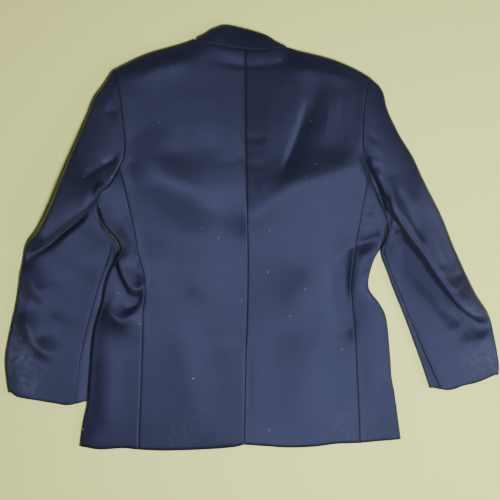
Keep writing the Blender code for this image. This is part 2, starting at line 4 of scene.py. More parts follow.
import bmesh
import bpy
import numpy as np
from bpy.props import FloatProperty, FloatVectorProperty, IntProperty, PointerProperty
from bpy.types import Operator, Panel, PropertyGroup
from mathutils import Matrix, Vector


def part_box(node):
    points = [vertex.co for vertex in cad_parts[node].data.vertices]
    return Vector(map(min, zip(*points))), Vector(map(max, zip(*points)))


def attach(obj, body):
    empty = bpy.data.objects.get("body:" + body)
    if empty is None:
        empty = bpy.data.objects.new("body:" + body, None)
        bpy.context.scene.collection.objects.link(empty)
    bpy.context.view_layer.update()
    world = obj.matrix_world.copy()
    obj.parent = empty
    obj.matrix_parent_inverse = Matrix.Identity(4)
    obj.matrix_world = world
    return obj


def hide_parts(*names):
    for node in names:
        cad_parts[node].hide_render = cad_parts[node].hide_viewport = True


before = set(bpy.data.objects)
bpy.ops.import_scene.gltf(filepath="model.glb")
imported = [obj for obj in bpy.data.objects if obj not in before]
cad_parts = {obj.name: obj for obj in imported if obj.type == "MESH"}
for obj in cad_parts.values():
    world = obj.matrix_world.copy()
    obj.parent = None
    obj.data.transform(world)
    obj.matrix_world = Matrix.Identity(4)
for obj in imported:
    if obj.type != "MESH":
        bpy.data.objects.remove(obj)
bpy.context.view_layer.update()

bl_info = {
    "name": "Blazer laid face down",
    "version": (1, 0, 0),
    "blender": (4, 5, 0),
    "location": "View3D > Sidebar > Blazer",
    "description": "Builds the cloth, seams and sewing of a wool blazer laid on a floor",
    "category": "Object",
}

ROOT = "root"

# Sizes in millimetres, heights over the floor.
MM = 0.001
WALL = 2.0              # cloth with its inner layer
SEAM_GAP = 0.32         # between two panels at a seam
EDGE_INSET = 7.0        # plan depth of the flattened tube's rounded edge
INNER_INSET = 4.0       # the same at the sleeves' inner edges
EDGE_TAPER = 26.0       # run over which a rounded edge opens from the underarm
ROLL_STEPS = 4          # steps around a rounded edge, top to bottom
REST_HEIGHT = 13.0      # outer height of two plies with air between them
SHOULDER_RISE = 19.0    # added where the shoulders and blades keep their shape
RISE_FOOT, RISE_RUN = -60.0, 180.0              # where the rise starts, and its run up the back
YOKE_FOOT, YOKE_RUN, YOKE_FALL = 95.0, 290.0, 0.12      # its fall from the blades to the neck
LEAST_HEIGHT, LEAST_SOFTNESS = 9.5, 2.5         # the upper ply sinks no lower than softly this
FOLD_REACH = 2.6        # how far from its path a fold is felt, in widths
FOLD_POWER = 1.8        # steepness of its flanks
FOLD_FADE = 70.0        # run over which a long fold dies out,
FOLD_END = 0.3          # and the most of a short one's length
CREASE_REACH = 5        # as for a fold
CREASE_RUN = 2.5        # run over which a crease dies out, in widths,
CREASE_ENDS = (0.3, 0.5)        # and the least and most of its length
EDGE_DROP = 4.0         # sink of the upper ply beside every outer edge
EDGE_WIDTH = 20.0       # reach of that sink
EDGES = ("body_edge", "sleeve_outer", "sleeve_inner", "shoulder")
BROAD_WAVES = (0.5, 60, 60, 2)      # height, wave length across and up, random layer
SMALL_WAVES = (0.22, 24, 27, 0)
LAPEL_LIFT = 2.4        # height of the front above a lapel on the floor
LAPEL_RUN, LAPEL_REACH, LAPEL_EASE = 22, 200, 30
LAPEL_FOLD = 0.6        # from the fold's line to the lapel
VENT_TOP = -221.0       # where the centre vent starts
VENT_WIDTH = 34.0       # width of the underlap
VENT_LIFT = 2.4         # how far the overlapping panel is raised
VENT_EASE, VENT_RUN = 66, 62                    # how softly it comes down beyond the underlap
VENT_START, VENT_RISE = 30, 26                  # and above the vent
BREAK_POINT = -75.0     # where the lapels start to turn
BODY_MIDDLE = -10.0     # middle of the front's rise over the lapels
FRONT_MIDDLE = -8.0     # the fronts' centre line
FRONT_OPENING = 9.0     # from that line to each front edge
FRONT_FOOT = 4.0        # how far the front edge leans out at the hem
FRONT_FOOT_SHARE = 0.04     # its place along the hem, for its height there
BUTTON_SETBACK = 18.0   # from the front edge to the buttons
BUTTON_RADIUS = 10.0
BUTTON_THICK = 2.4
BUTTON_LIFT = 3.2       # height of the front above a button
BUTTON_REACH, BUTTON_EASE, BUTTON_RUN = 74, 38, 16
BUTTON_UP = (-92.0, -192.0)

# Lines in plan: (across, up) in mm from the middle of the coat.
CENTRE = ((-16, -403), (-13, -283), (-12, -221), (-9, -127), (-8, -33), (-10, 60), (-12, 184),
          (-13, 277), (-14, 380))
COLLAR_TOP = ((-113, 386), (-90, 399), (-77, 407), (-50, 415), (-10, 407), (27, 396), (52, 381), (74, 369))
COLLAR_LOW = ((-113, 386), (-75, 378), (-25, 369), (12, 366), (50, 370), (74, 369))
LINES = {
    "left": {
        "hem_back": ((-16, -403), (-39, -408), (-102, -413), (-174, -415), (-222, -413)),
        "hem_side": ((-222, -413), (-255, -410), (-300, -412), (-337, -407)),
        "side_seam": ((-222, -413), (-218, -313), (-215, -232), (-212, -138), (-208, -86), (-219, -43),
                      (-229, 12), (-242, 71), (-251, 113), (-258, 137)),
        "armhole": ((-273, 325), (-261, 287), (-253, 241), (-247, 196), (-248, 161), (-258, 137),
                    (-275, 105), (-292, 89), (-301, 72)),
        "shoulder": ((-113, 386), (-152, 374), (-209, 357), (-253, 336), (-273, 325)),
        "body_edge": ((-301, 72), (-300, 56), (-291, 27), (-276, 8), (-262, -10), (-259, -27), (-270, -47),
                      (-280, -66), (-289, -93), (-295, -129), (-308, -172), (-314, -213), (-318, -268),
                      (-322, -320), (-331, -363), (-337, -407)),
        "sleeve_outer": ((-273, 325), (-291, 296), (-308, 272), (-322, 236), (-340, 193), (-361, 144),
                         (-393, 74), (-418, 27), (-442, -11), (-451, -63), (-462, -129), (-477, -200),
                         (-482.5, -238), (-480, -277), (-476, -303)),
        "sleeve_inner": ((-301, 72), (-300.8, 56), (-291.7, 27), (-276.6, 7.6), (-263, -10), (-262, -28),
                         (-271, -47.4), (-280.8, -66.4), (-289.8, -93), (-295.6, -129), (-308.5, -172),
                         (-314.5, -213), (-318.5, -268), (-322.6, -320)),
        "cuff": ((-476, -303), (-471, -308), (-460, -312.5), (-423, -318), (-388, -323), (-357, -327),
                 (-322.6, -320)),
        "hind_seam": ((-275, 105), (-293, 98), (-306, 83), (-309, 60), (-301, 34), (-287, 12), (-276, -8),
                      (-276, -34), (-286, -60), (-297, -90), (-308, -132), (-321, -182), (-333, -241),
                      (-342, -324)),
        "neck": ((-14, 380), (-50, 382), (-85, 384), (-113, 386)),
    },
    "right": {
        "hem_back": ((-16, -403), (23, -406), (73, -409), (122, -407), (162, -402), (210, -400)),
        "hem_side": ((210, -400), (250, -396), (291, -393)),
        "side_seam": ((210, -400), (207, -314), (204, -260), (202, -211), (195, -120), (192, -93), (200, -30),
                      (212, 44), (221, 99), (225, 136)),
        "armhole": ((231, 313), (221, 268), (215, 219), (215, 174), (225, 136), (237, 101), (251, 68),
                    (263, 35)),
        "shoulder": ((74, 369), (124, 357), (163, 346), (201, 330), (231, 313)),
        "body_edge": ((263, 35), (262, 14), (257, -6), (249, -24), (238, -44), (228, -79), (230, -102),
                      (251, -131), (263, -160), (270, -228), (273, -272), (279, -306), (291, -393)),
        "sleeve_outer": ((231, 313), (254, 288), (265, 248), (287, 201), (313, 158), (334, 113), (370, 44),
                         (397, -19), (435, -98), (462, -144), (472, -186), (482, -241), (482, -268)),
        "sleeve_inner": ((263, 35), (263.3, 14), (258.1, -6), (250.8, -22), (253.2, -40), (262, -63),
                         (277, -104), (297, -153), (315, -202), (332, -249), (347, -294)),
        "cuff": ((482, -268), (441, -283), (414, -289), (384, -298), (347, -294)),
        "hind_seam": ((243, 87), (258, 76), (267, 56), (269, 34), (267, 10), (262, -12), (257, -28),
                      (270, -68), (290, -116), (320, -191), (339, -235), (366, -297)),
        "neck": ((-14, 380), (20, 376), (50, 371.5), (74, 369)),
    },
}

# Folds: name, path in plan (mm), height (mm, below zero a trough), width on the path's left and
# right (mm), lean of the crest towards the left (mm).
FOLDS = (
    ("left sleeve roll", ((-284, 108), (-324, 70), (-380, 28), (-450, -34)), 14, 12, 52, 12),
    ("left sleeve crease", ((-298, 70), (-345, 30), (-402, -11), (-446, -48)), -7, 8, 14, 0),
    ("left sleeve valley", ((-250, 166), (-287, 138), (-349, 100), (-402, 40)), -1.2, 20, 26, 0),
    ("left scye lip", ((-284, 108), (-302, 88), (-305, 66)), 2, 6, 9, 0),
    ("left forearm ridge", ((-456, -46), (-434, -86), (-405, -132)), 7, 26, 20, 0),
    ("left forearm hollow", ((-372, -50), (-372, -110), (-388, -170)), -4, 34, 26, 0),
    ("left cuff ridge", ((-470, -150), (-437, -170), (-425, -203), (-392, -238)), 5, 20, 14, 0),
    ("left cuff trough", ((-446, -196), (-400, -192), (-362, -176)), -1.6, 14, 20, 0),
    ("left cuff small ridge", ((-424, -210), (-398, -222), (-362, -226)), 2, 12, 12, 0),
    ("left sleeve strip", ((-300, -60), (-318, -150), (-336, -250)), 2, 10, 26, 0),
    ("right sleeve swell", ((226, 226), (250, 140), (276, 74), (306, 22)), 3, 40, 16, 0),
    ("right sleeve lip", ((254, 108), (270, 84), (286, 54), (314, 12), (343, -26), (376, -74), (420, -130),
                          (478, -170)), 15, 40, 10, -13),
    ("right sleeve shadow", ((272, 30), (296, -8), (335, -66), (378, -117), (417, -148), (462, -160)),
     -11, 8, 22, 0),
    ("right scye valley", ((214, 190), (223, 143), (244, 94), (266, 30)), -8, 6, 9, 0),
    ("right sleeve crease", ((281, 97), (324, 37), (341, -10)), -3, 6, 9, 0),
    ("right sleeve second", ((300, 92), (352, 10), (392, -62)), 3, 14, 14, 0),
    ("right elbow pucker 1", ((366, -56), (388, -62), (412, -84)), 1.2, 7, 7, 0),
    ("right elbow pucker 2", ((372, -76), (396, -92), (418, -108)), -1.0, 6, 6, 0),
    ("right elbow curl 1", ((392, -150), (428, -158), (462, -132)), 3, 10, 8, 0),
    ("right elbow curl 2", ((398, -172), (436, -186), (470, -168)), -2, 10, 12, 0),
    ("right elbow curl 3", ((410, -196), (444, -204), (472, -190)), 2, 10, 16, 0),
    ("right curl", ((268, 30), (276, 22), (284, 8)), 3, 6, 7, 0),
    ("left waist lip", ((-262, -14), (-252, -62), (-230, -100), (-212, -84), (-204, -68)), 9, 24, 8, -4),
    ("left waist pocket", ((-268, -44), (-256, -76), (-238, -112)), -7, 6, 10, 0),
    ("left waist trough", ((-222, -98), (-230, -128), (-254, -146)), -6, 10, 16, 0),
    ("left waist vee", ((-297, -128), (-254, -160), (-216, -134)), 6, 14, 22, 0),
    ("left waist side", ((-250, 40), (-236, -10), (-226, -60)), 3, 12, 14, 0),
    ("right waist trough", ((236, 2), (190, -18), (168, -66), (170, -120), (186, -184), (204, -218)),
     -7.5, 14, 22, 0),
    ("right waist shade", ((190, -20), (176, -60), (182, -120)), -2, 22, 14, 0),
    ("right waist ridge", ((246, -8), (216, -40), (203, -84), (204, -130)), 7, 24, 13, 0),
    ("right waist crease", ((208, -78), (220, -68), (232, -60)), -3, 5, 6, 0),
    ("right blade trough", ((126, 320), (108, 259), (80, 190), (50, 120), (20, 66)), -2.6, 20, 30, 0),
    ("right blade rise", ((160, 310), (146, 240), (120, 170)), 2, 30, 34, 0),
    ("right blade ridge", ((-34, -6), (0, 40), (40, 74), (82, 102), (140, 122), (200, 144), (236, 164)),
     8, 42, 32, 0),
    ("left blade band", ((-246, 190), (-168, 122), (-105, 70), (-50, 10)), 4.5, 34, 44, 0),
    ("left blade fall", ((-254, 134), (-140, 106), (-14, 94)), 5, 95, 45, 0),
    ("left blade hollow", ((-40, 176), (-110, 158), (-190, 166)), -1.5, 30, 46, 0),
    ("neck crease", ((-84, 347), (-53, 341), (-4, 334), (40, 337), (94, 346)), -1.3, 10, 7, 0),
    ("right shoulder soft", ((60, 330), (130, 322), (196, 300)), 2, 14, 20, 0),
    ("left shoulder soft", ((-96, 346), (-168, 334), (-236, 306)), 2, 20, 14, 0),
    ("left skirt fold", ((-112, -396), (-120, -260), (-146, -150)), 2.4, 36, 32, 0),
    ("left skirt hollow", ((-66, -390), (-70, -260), (-96, -140)), -1.8, 30, 30, 0),
    ("left skirt side", ((-288, -396), (-276, -280), (-262, -200)), 2.5, 22, 22, 0),
    ("right skirt fold", ((96, -396), (104, -270), (126, -160)), 4, 34, 34, 0),
    ("right skirt hollow", ((36, -390), (38, -260), (60, -120)), -2, 26, 30, 0),
    ("right skirt side", ((244, -390), (240, -300), (234, -240)), 2.5, 18, 20, 0),
    ("right waist soft", ((120, -60), (90, -120), (60, -190)), 3, 34, 34, 0),
    ("left waist soft", ((-110, 20), (-96, -60), (-110, -140)), 3, 40, 34, 0),
)

# Creases with a crisp line: name, path, height, width on the path's left and right.
CREASES = (
    ("right sleeve crest", ((252, 131), (276, 90), (293, 61), (321, 19), (350, -19), (383, -67), (427, -123),
                            (454, -148)), 3.0, 4, 3),
    ("right sleeve line", ((276, 112), (284, 97), (306, 72), (327, 46), (339, -12)), -2.6, 4, 8),
    ("right sleeve line low", ((339, -12), (353, -47), (378, -84), (392, -104)), 1.8, 7, 5),
    ("right elbow tuck 1", ((374, -56), (398, -71), (420, -58)), -1.6, 3, 6),
    ("right elbow tuck 2", ((380, -80), (402, -92), (416, -74)), 1.8, 4, 3),
    ("right elbow end", ((366, -108), (417, -153), (474, -162)), -4.5, 5, 12),
    ("right elbow curl", ((418, -172), (444, -194), (470, -172)), 2.4, 4, 5),
    ("right blade line", ((112, 276), (100, 238), (82, 184), (52, 110)), -4.0, 14, 4),
    ("right streak 1", ((174, 320), (172, 262), (171, 200)), -0.6, 5, 3),
    ("right streak 2", ((150, 316), (147, 252), (141, 186)), 0.5, 5, 4),
    ("right streak 3", ((130, 300), (116, 246), (94, 186)), -0.6, 6, 3),
    ("right scye tuck 1", ((218, 150), (232, 160), (250, 154)), -2.0, 4, 5),
    ("right scye tuck 2", ((222, 128), (236, 138), (252, 128)), -2.2, 4, 6),
    ("right scye tuck 3", ((226, 112), (240, 122), (252, 112)), 1.6, 4, 5),
    ("right scye tuck 4", ((216, 206), (230, 196), (238, 180)), -1.8, 5, 5),
    ("right underarm tuck 1", ((210, 44), (226, 54), (250, 58)), -3.0, 4, 9),
    ("right underarm tuck 2", ((206, 14), (226, 24), (254, 30)), -2.2, 4, 8),
    ("right waist fold", ((198, -18), (230, -5), (260, 11)), -6.5, 5, 12),
    ("right waist pinch", ((202, -80), (220, -66), (242, -40)), 2.8, 4, 5),
    ("right waist tail", ((182, -40), (180, -92), (190, -146), (202, -204)), -4.5, 8, 14),
    ("left cap tuck 1", ((-249, 172), (-272, 152), (-300, 134), (-336, 110)), -1.2, 4, 6),
    ("left cap tuck 2", ((-257, 154), (-272, 148), (-290, 141)), -1.6, 3, 5),
    ("left scye lip", ((-284, 106), (-299, 93), (-307, 72)), 4.5, 5, 6),
    ("left sleeve line", ((-306, 68), (-336, 45), (-363, 21), (-398, -13), (-440, -38)), -6.5, 7, 13),
    ("left forearm line", ((-443, -58), (-419, -100), (-404, -138), (-412, -160)), 3.0, 10, 6),
    ("left cuff line", ((-462, -150), (-437, -172), (-421, -203), (-394, -231), (-372, -238)), 3.6, 8, 8),
    ("left cuff dent", ((-420, -189), (-398, -186), (-374, -184)), -1.6, 6, 8),
    ("left waist edge", ((-272, 2), (-258, -43), (-250, -80), (-228, -99), (-209, -84)), 4.0, 10, 4),
    ("left waist shade", ((-268, -34), (-262, -76), (-238, -112), (-214, -102)), -6.0, 5, 12),
    ("left waist low", ((-276, -142), (-250, -164), (-212, -122)), 3.0, 7, 7),
    ("left waist pinch", ((-213, -82), (-202, -84), (-188, -92)), -1.2, 4, 6),
    ("left blade tuck", ((-250, 150), (-236, 128), (-222, 96)), -1.0, 5, 7),
    ("left shoulder dent", ((-287, 252), (-272, 247), (-258, 246)), -1.8, 5, 5),
    ("vent shade", ((-9, -190), (-8, -240), (-7, -300), (-6, -345), (0, -362)), -2.6, 7, 3),
    ("centre tuck 1", ((-24, 197), (4, 193), (30, 195)), -1.0, 4, 5),
    ("centre tuck 2", ((-24, 145), (14, 141), (40, 146)), -0.9, 4, 5),
    ("centre tuck 3", ((4, 164), (-34, 152), (-66, 138)), -1.0, 5, 6),
    ("under collar", ((-118, 380), (-75, 370), (-25, 361), (12, 358), (50, 362), (76, 363)), 1.4, 4, 16),
)

# Seams on the upper ply: line, groove depth and half width, and the soft welt beside it (mm).
SEAM_GROOVE = (0.5, 1.3)
SEAM_WELT = (0.12, 7.0, 5.0)
SEAM_SHOW = 0.1         # share of a seam's run over which it comes out of its fold

# Fine wrinkles: middle of the area, its reach across and up, wave length, height (mm), lie (degrees).
WRINKLES = (
    ((-400, 20), (90, 70), 26, 0.9, -40),
    ((-420, -150), (80, 110), 22, 0.5, -20),
    ((400, -90), (90, 90), 20, 0.9, -50),
    ((440, -180), (60, 50), 16, 0.8, 20),
    ((-235, -60), (60, 80), 18, 0.8, 30),
    ((222, -50), (50, 90), 18, 0.9, 70),
    ((-290, 120), (50, 60), 16, 0.4, 20),
    ((250, 120), (40, 70), 14, 0.8, 10),
    ((150, 250), (90, 70), 30, 0.5, 85),
)
WRINKLE_RUN = 2.6       # length of a wrinkle, in wave lengths
WRINKLE_BEND, BEND_RUN = 0.5, 3         # how far it bends and over what run, in wave lengths

# Sampling: body rows from the underarm down, sleeve rows from the shoulder to the cuff.
BODY_ROWS = np.array((0, .07, .14, .20, .25, .295, .34, .385, .43, .475, .525, .58, .65, .73, .82, .91, 1))
SLEEVE_ROWS = np.array((0, .045, .09, .135, .18, .225, .27, .32, .37, .42, .47, .53, .59, .65, .71, .78,
                        .85, .92, 1))
RELAX_ROUNDS = 250      # on a coarse grid
SETTLE_ROUNDS = 60      # on the fine one that is made from it
RELAX_SHARE = 0.8       # part of the way a point moves in a round
ARM_STEPS = 8           # armhole steps along the back,
SCYE_STEPS = 2          # from there to the hind seam,
STRIP_STEPS = 3         # and along the strip inside it
SCYE_DRAW = 0.35        # share of the armhole that is drawn to the shoulder's border
FORE_START = 5          # armhole step where the forearm seam begins under the sleeve
NECK_STEPS = 5
SHOULDER_STEPS = 7
CUFF_STEPS = 40
UNDERLAP_STEPS = 3
BACK_ROWS = np.r_[(1 - BODY_ROWS[::-1]) * 0.73, .77, .81, .85, .89, .925, .955, .98, 1]
BREAK_SHARE = 0.40      # where the lapels start to turn, as a share of the back's length
FORE_SHARE = 0.55       # where the forearm seam meets the cuff, as a share of its width
FORE_BOW = 42.0         # how far that seam bows out
HIDDEN_HIND = 0.34      # share of the hind seam's run that lies in the fold at the underarm

# Lapel and collar leaf: place along the fold, width, sweep of the edge towards the neck (mm).
LAPEL_STEPS, LEAF_STEPS, PLY_STEPS = 9, 5, 4
LAPEL_SECTIONS = ((0.04, 6, 0), (0.25, 46, 0), (0.5, 74, 4), (0.72, 88, 14))
LEAF_SECTIONS = ((0.732, 56, 12), (0.85, 54, 6), (0.955, 46, 0))
COLLAR_ENDS = (0.03, 0.97)
COLLAR_CLEAR = 1.3      # between the collar's fall and the back
COLLAR_SLOPE = 1.3      # how late the fall rises to its fold
COLLAR_STEPS = 16
COLLAR_FALL_STEPS, COLLAR_STAND_STEPS = 5, 4
COLLAR_ROLL = 4.0       # depth of the fold, at most
COLLAR_ROLL_LEAST, COLLAR_ROLL_SHARE = 2.2, 0.35
COLLAR_FALL_SLOPE = 0.8
COLLAR_SEAM_SHIFT = 3 * SEAM_GAP
COLLAR_WINDOW = 3       # columns on each side over which the fall stays level
COLLAR_TOP_Z = 12.5
COLLAR_LOW_Z = 4.0

RIM_ROUND = 0.22        # how far a ply's edge is rounded back
RIM_DROP = 0.2
LEAN_LEAST = 0.66       # least share of a wall's thickness across a sharp bend
MITER_LEAST = 0.06
MITER_SHORT = 0.5       # a rim's pull below this is rounded as if it were this long
STITCH_SINK = -0.25     # mm
STITCH_BEND = -0.0012   # metres, by the square of the place along a stitch
STITCH_WOBBLE = 0.35    # radians
STITCH_HALVING = 3      # cuts of the solids' steps along a seam
UPWARD = 0.75           # least upward share of a face that lint lies on
LINT_BEND = ((-1.0, 0.0), (0.1, 0.7), (0.9, -0.3))      # a fibre's path, in half lengths
LINT_LIFT = 0.00025     # metres
LINT_SIZES = (0.35, 1.3)
FLOOR_DROP = -0.0004    # metres
FLOOR_REACH = 6.0       # metres
VIEW_MIDDLE = (-4.1, -23.6)
VIEW_WIDTH = 0.975      # metres across the picture,
VIEW_LEVEL = 0.010      # at this height over the floor
SENSOR = 36.0           # the camera's width, mm

# Lamps: name, property with the power, place and aim (m), size (m), colour.
LAMPS = (
    ("key", "key_power", (2.00, -0.70, 0.95), (0.05, -0.05, 0), 0.7, (1.0, 0.985, 0.96)),
    ("window", "window_power", (0.40, -0.37, 1.75), (0.05, -0.05, 0), 0.6, (1.0, 1.0, 1.0)),
    ("fill", "fill_power", (-1.6, 1.4, 1.8), (0, 0, 0), 2.4, (0.95, 0.97, 1.0)),
)

# A button's profile from the middle of its back round to its dished face: share of its radius, and
# of its thickness. Its holes: sides, place and radius as shares of its radius, and their levels.
BUTTON_RINGS = ((0.55, 0.0), (0.88, 0.0), (0.97, 0.06), (1.0, 0.25), (1.0, 0.75), (0.97, 0.94), (0.88, 1.0),
                (0.74, 0.96), (0.66, 0.70), (0.60, 0.66))
BUTTON_SIDES = 48
HOLE_SIDES, HOLE_PLACE, HOLE_RADIUS, HOLE_LEVELS = 12, 0.21, 0.09, (0.0, 0.66)
BUTTON_SHARP = math.radians(35)

# The wool's bump: scale, detail and roughness of each noise, and its height (m).
NAP_BUMPS = ((900.0, 3.0, 0.6, 0.00025), (190.0, 2.0, 0.55, 0.00026))
TWILL_HEIGHT = 0.00012
NAP_SHARE, NAP_ROUGH, WOOL_ROUGH = 0.3, 0.12, 0.375
TURN = 6.283            # one turn, for a sine's argument

# Rubbed and dusty places, made paler partly by dust and wear and partly by the painted sheen of worn cloth:
# middle in plan (mm), reach (mm), strength.
DUST_AND_SHEEN = (
    ((-455, -225), 70, 0.9), ((-440, -280), 60, 0.8), ((-450, -120), 50, 0.4), ((415, -150), 60, 0.5),
    ((450, -240), 60, 0.6), ((-130, -380), 90, 0.25), ((180, -380), 90, 0.25), ((-300, 250), 60, 0.2),
)


def catmull(a, b, c, d, t):
    """Between b and c on a Catmull-Rom line, at a share t of the way."""
    return 0.5 * (2 * b + (c - a) * t + (2 * a - 5 * b + 4 * c - d) * t ** 2
                  + (3 * b - a - 3 * c + d) * t ** 3)


def spline(points, steps=16):
    """A smooth line through the points, densely sampled (Catmull-Rom, end tangents mirrored)."""
    p = np.array(points, float)
    p = np.vstack([2 * p[0] - p[1], p, 2 * p[-1] - p[-2]])
    t = np.linspace(0.0, 1.0, steps, endpoint=False)[:, None]
    rows = []
    for i in range(1, len(p) - 2):
        rows.append(catmull(*p[i - 1:i + 3], t))
    rows.append(p[-2][None, :])
    return np.vstack(rows)


def run_of(line):
    """Length of a line up to each of its points."""
    return np.r_[0.0, np.cumsum(np.hypot(*np.diff(line, axis=0).T))]


def along(line, fractions, values=None):
    """Points (or values carried by the line) at fractions of its length."""
    run = run_of(line)
    values = line if values is None else values
    at = np.asarray(fractions) * run[-1]
    return np.column_stack([np.interp(at, run, values[:, k]) for k in range(values.shape[1])])


def pinned(line, fractions, start, end):
    """Points along a line whose ends are drawn to two given points."""
    p = along(line, fractions)
    s = np.asarray(fractions)[:, None]
    return p + (np.asarray(start) - p[0]) * (1 - s) + (np.asarray(end) - p[-1]) * s


def fraction_near(line, point):
    """The fraction of a line's length at the place nearest to a point."""
    run = run_of(line)
    return run[np.argmin(np.hypot(*(line - np.array(point)).T))] / run[-1]


def outward(line, side):
    """Unit normals in plan on the given side (+1 left of the line's run, -1 right)."""
    d = np.gradient(line, axis=0)
    n = np.column_stack([-d[:, 1], d[:, 0]]) * side
    return n / np.linalg.norm(n, axis=1)[:, None]


def nearest(points, line):
    """Signed distance to a line (left is positive), fraction of its length and unit left normal."""
    a, b = line[:-1], line[1:]
    d = b - a
    long2 = (d ** 2).sum(1)
    rel = points[:, None, :] - a[None]
    t = np.clip((rel * d[None]).sum(2) / long2[None], 0.0, 1.0)
    off = rel - t[..., None] * d[None]
    dist = np.hypot(off[..., 0], off[..., 1])
    k = dist.argmin(1)
    rows = np.arange(len(points))
    run = np.r_[0.0, np.cumsum(np.sqrt(long2))]
    frac = (run[k] + t[rows, k] * np.sqrt(long2[k])) / run[-1]
    normal = np.column_stack([-d[k, 1], d[k, 0]]) / np.sqrt(long2[k])[:, None]
    sign = np.where((off[rows, k] * normal).sum(1) < 0, -1.0, 1.0)
    return sign * dist[rows, k], frac, normal


def smooth(x):
    """0 to 1 with soft ends, held there outside."""
    x = np.clip(x, 0.0, 1.0)
    return x * x * (3 - 2 * x)


def lattice(seed):
    return np.random.default_rng(seed).random((64, 64))


GRAIN = [lattice(seed) for seed in (3, 11, 29)]


def mottle(x, y, layer):
    """Smooth random value between -1 and 1, from a layer's grid of unit steps."""
    grid = GRAIN[layer]
    i, j = np.floor(x).astype(int), np.floor(y).astype(int)
    u, v = x - i, y - j
    u, v = u * u * (3 - 2 * u), v * v * (3 - 2 * v)
    a, b = grid[i % 64, j % 64], grid[(i + 1) % 64, j % 64]
    c, d = grid[i % 64, (j + 1) % 64], grid[(i + 1) % 64, (j + 1) % 64]
    return 2 * (a * (1 - u) * (1 - v) + b * u * (1 - v) + c * (1 - u) * v + d * u * v) - 1


def seam_lines():
    """Every seam that shows, with the share of its run that lies hidden in a fold."""
    lines = [(spline(CENTRE, 5), 0.0)]
    for half in LINES.values():
        lines += [(spline(half[key], 5), hidden) for key, hidden in
                  (("side_seam", 0.0), ("armhole", 0.0), ("hind_seam", HIDDEN_HIND))]
    return lines


def near_path(p, path, reach):
    """Which points lie in a path's box, widened by a reach."""
    box = np.array(path)
    return ((p > box.min(0) - reach) & (p < box.max(0) + reach)).all(1)


def ends_fade(frac, share):
    """1 along a line, fading to 0 over a share of its run at each end."""
    return smooth(np.minimum(frac, 1 - frac) / share)


def waves(p, height, across, up, layer):
    return height * mottle(p[:, 0] / across, p[:, 1] / up, layer)


def top_place(plan):
    """Outer face of the upper ply over plan points: (across, up, height), folds and lean included."""
    p = np.asarray(plan, float).reshape(-1, 2)
    up = np.clip((p[:, 1] - YOKE_FOOT) / YOKE_RUN, 0, 1)
    rise = smooth((p[:, 1] - RISE_FOOT) / RISE_RUN) * (1 - up * up / (up + YOKE_FALL))
    out = np.column_stack([p, REST_HEIGHT + SHOULDER_RISE * rise])
    for _name, path, height, left, right, lean in FOLDS:
        near = near_path(p, path, FOLD_REACH * max(left, right))
        if not near.any():
            continue
        line = spline(path, 6)
        dist, frac, normal = nearest(p[near], line)
        width = np.where(dist > 0, left, right)
        fade = min(FOLD_END, FOLD_FADE / run_of(line)[-1])
        hump = np.exp(-(abs(dist) / width) ** FOLD_POWER) * ends_fade(frac, fade)
        out[near, 2] += height * hump
        out[near, :2] += normal * (lean * hump)[:, None]
    for _name, path, height, left, right in CREASES:
        near = near_path(p, path, CREASE_REACH * max(left, right))
        if not near.any():
            continue
        line = spline(path, 6)
        dist, frac, _normal = nearest(p[near], line)
        slope = np.exp(1 - np.hypot(1, dist / np.where(dist > 0, left, right)))
        fade = min(max(CREASE_RUN * max(left, right) / run_of(line)[-1], CREASE_ENDS[0]), CREASE_ENDS[1])
        out[near, 2] += height * slope * ends_fade(frac, fade)
    for middle, reach, wave, height, lie in WRINKLES:
        x, y = ((p - middle) / reach).T
        fade = np.exp(-(x * x + y * y))
        c, s = math.cos(math.radians(lie)), math.sin(math.radians(lie))
        along_it, across_it = p @ (c, s), p @ (-s, c)
        run = BEND_RUN * wave
        bend = WRINKLE_BEND * wave * mottle(along_it / run, across_it / run, 0)
        out[:, 2] += height * fade * mottle(along_it / (WRINKLE_RUN * wave), (across_it + bend) / wave, 1)
    out[:, 2] += waves(p, *BROAD_WAVES) + waves(p, *SMALL_WAVES)
    drop = np.zeros(len(p))
    for half in LINES.values():
        for key in EDGES:
            dist, _frac, _normal = nearest(p, spline(half[key], 5))
            drop = np.maximum(drop, np.exp(-(dist / EDGE_WIDTH) ** 2))
    depth, width = SEAM_GROOVE
    welt, far, spread = SEAM_WELT
    groove = np.zeros(len(p))
    raised = np.zeros(len(p))
    for line, hidden in seam_lines():
        dist, frac, _normal = nearest(p, line)
        shown = smooth((frac - hidden) / SEAM_SHOW + 1)
        groove = np.maximum(groove, shown * np.exp(-(dist / width) ** 2))
        raised = np.maximum(raised, shown * np.exp(-((abs(dist) - far) / spread) ** 2))
    out[:, 2] += welt * raised - depth * groove - EDGE_DROP * drop
    over = out[:, 2] - LEAST_HEIGHT
    sunk = LEAST_HEIGHT - LEAST_SOFTNESS * (1 - np.exp(over / LEAST_SOFTNESS))
    out[:, 2] = np.where(out[:, 2] < LEAST_HEIGHT, sunk, out[:, 2])
    return out.reshape(np.shape(plan)[:-1] + (3,))


def button_across():
    return FRONT_MIDDLE + FRONT_OPENING + BUTTON_SETBACK


def part_origin():
    """The place of the part's origin in the tables' millimetres, from where the frame has a button."""
    low, high = (np.array(corner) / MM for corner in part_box("front_button_1"))
    return np.array([button_across() - (low[0] + high[0]) / 2,
                     BUTTON_UP[0] - (low[1] + high[1]) / 2, -low[2]])


ORIGIN = part_origin()


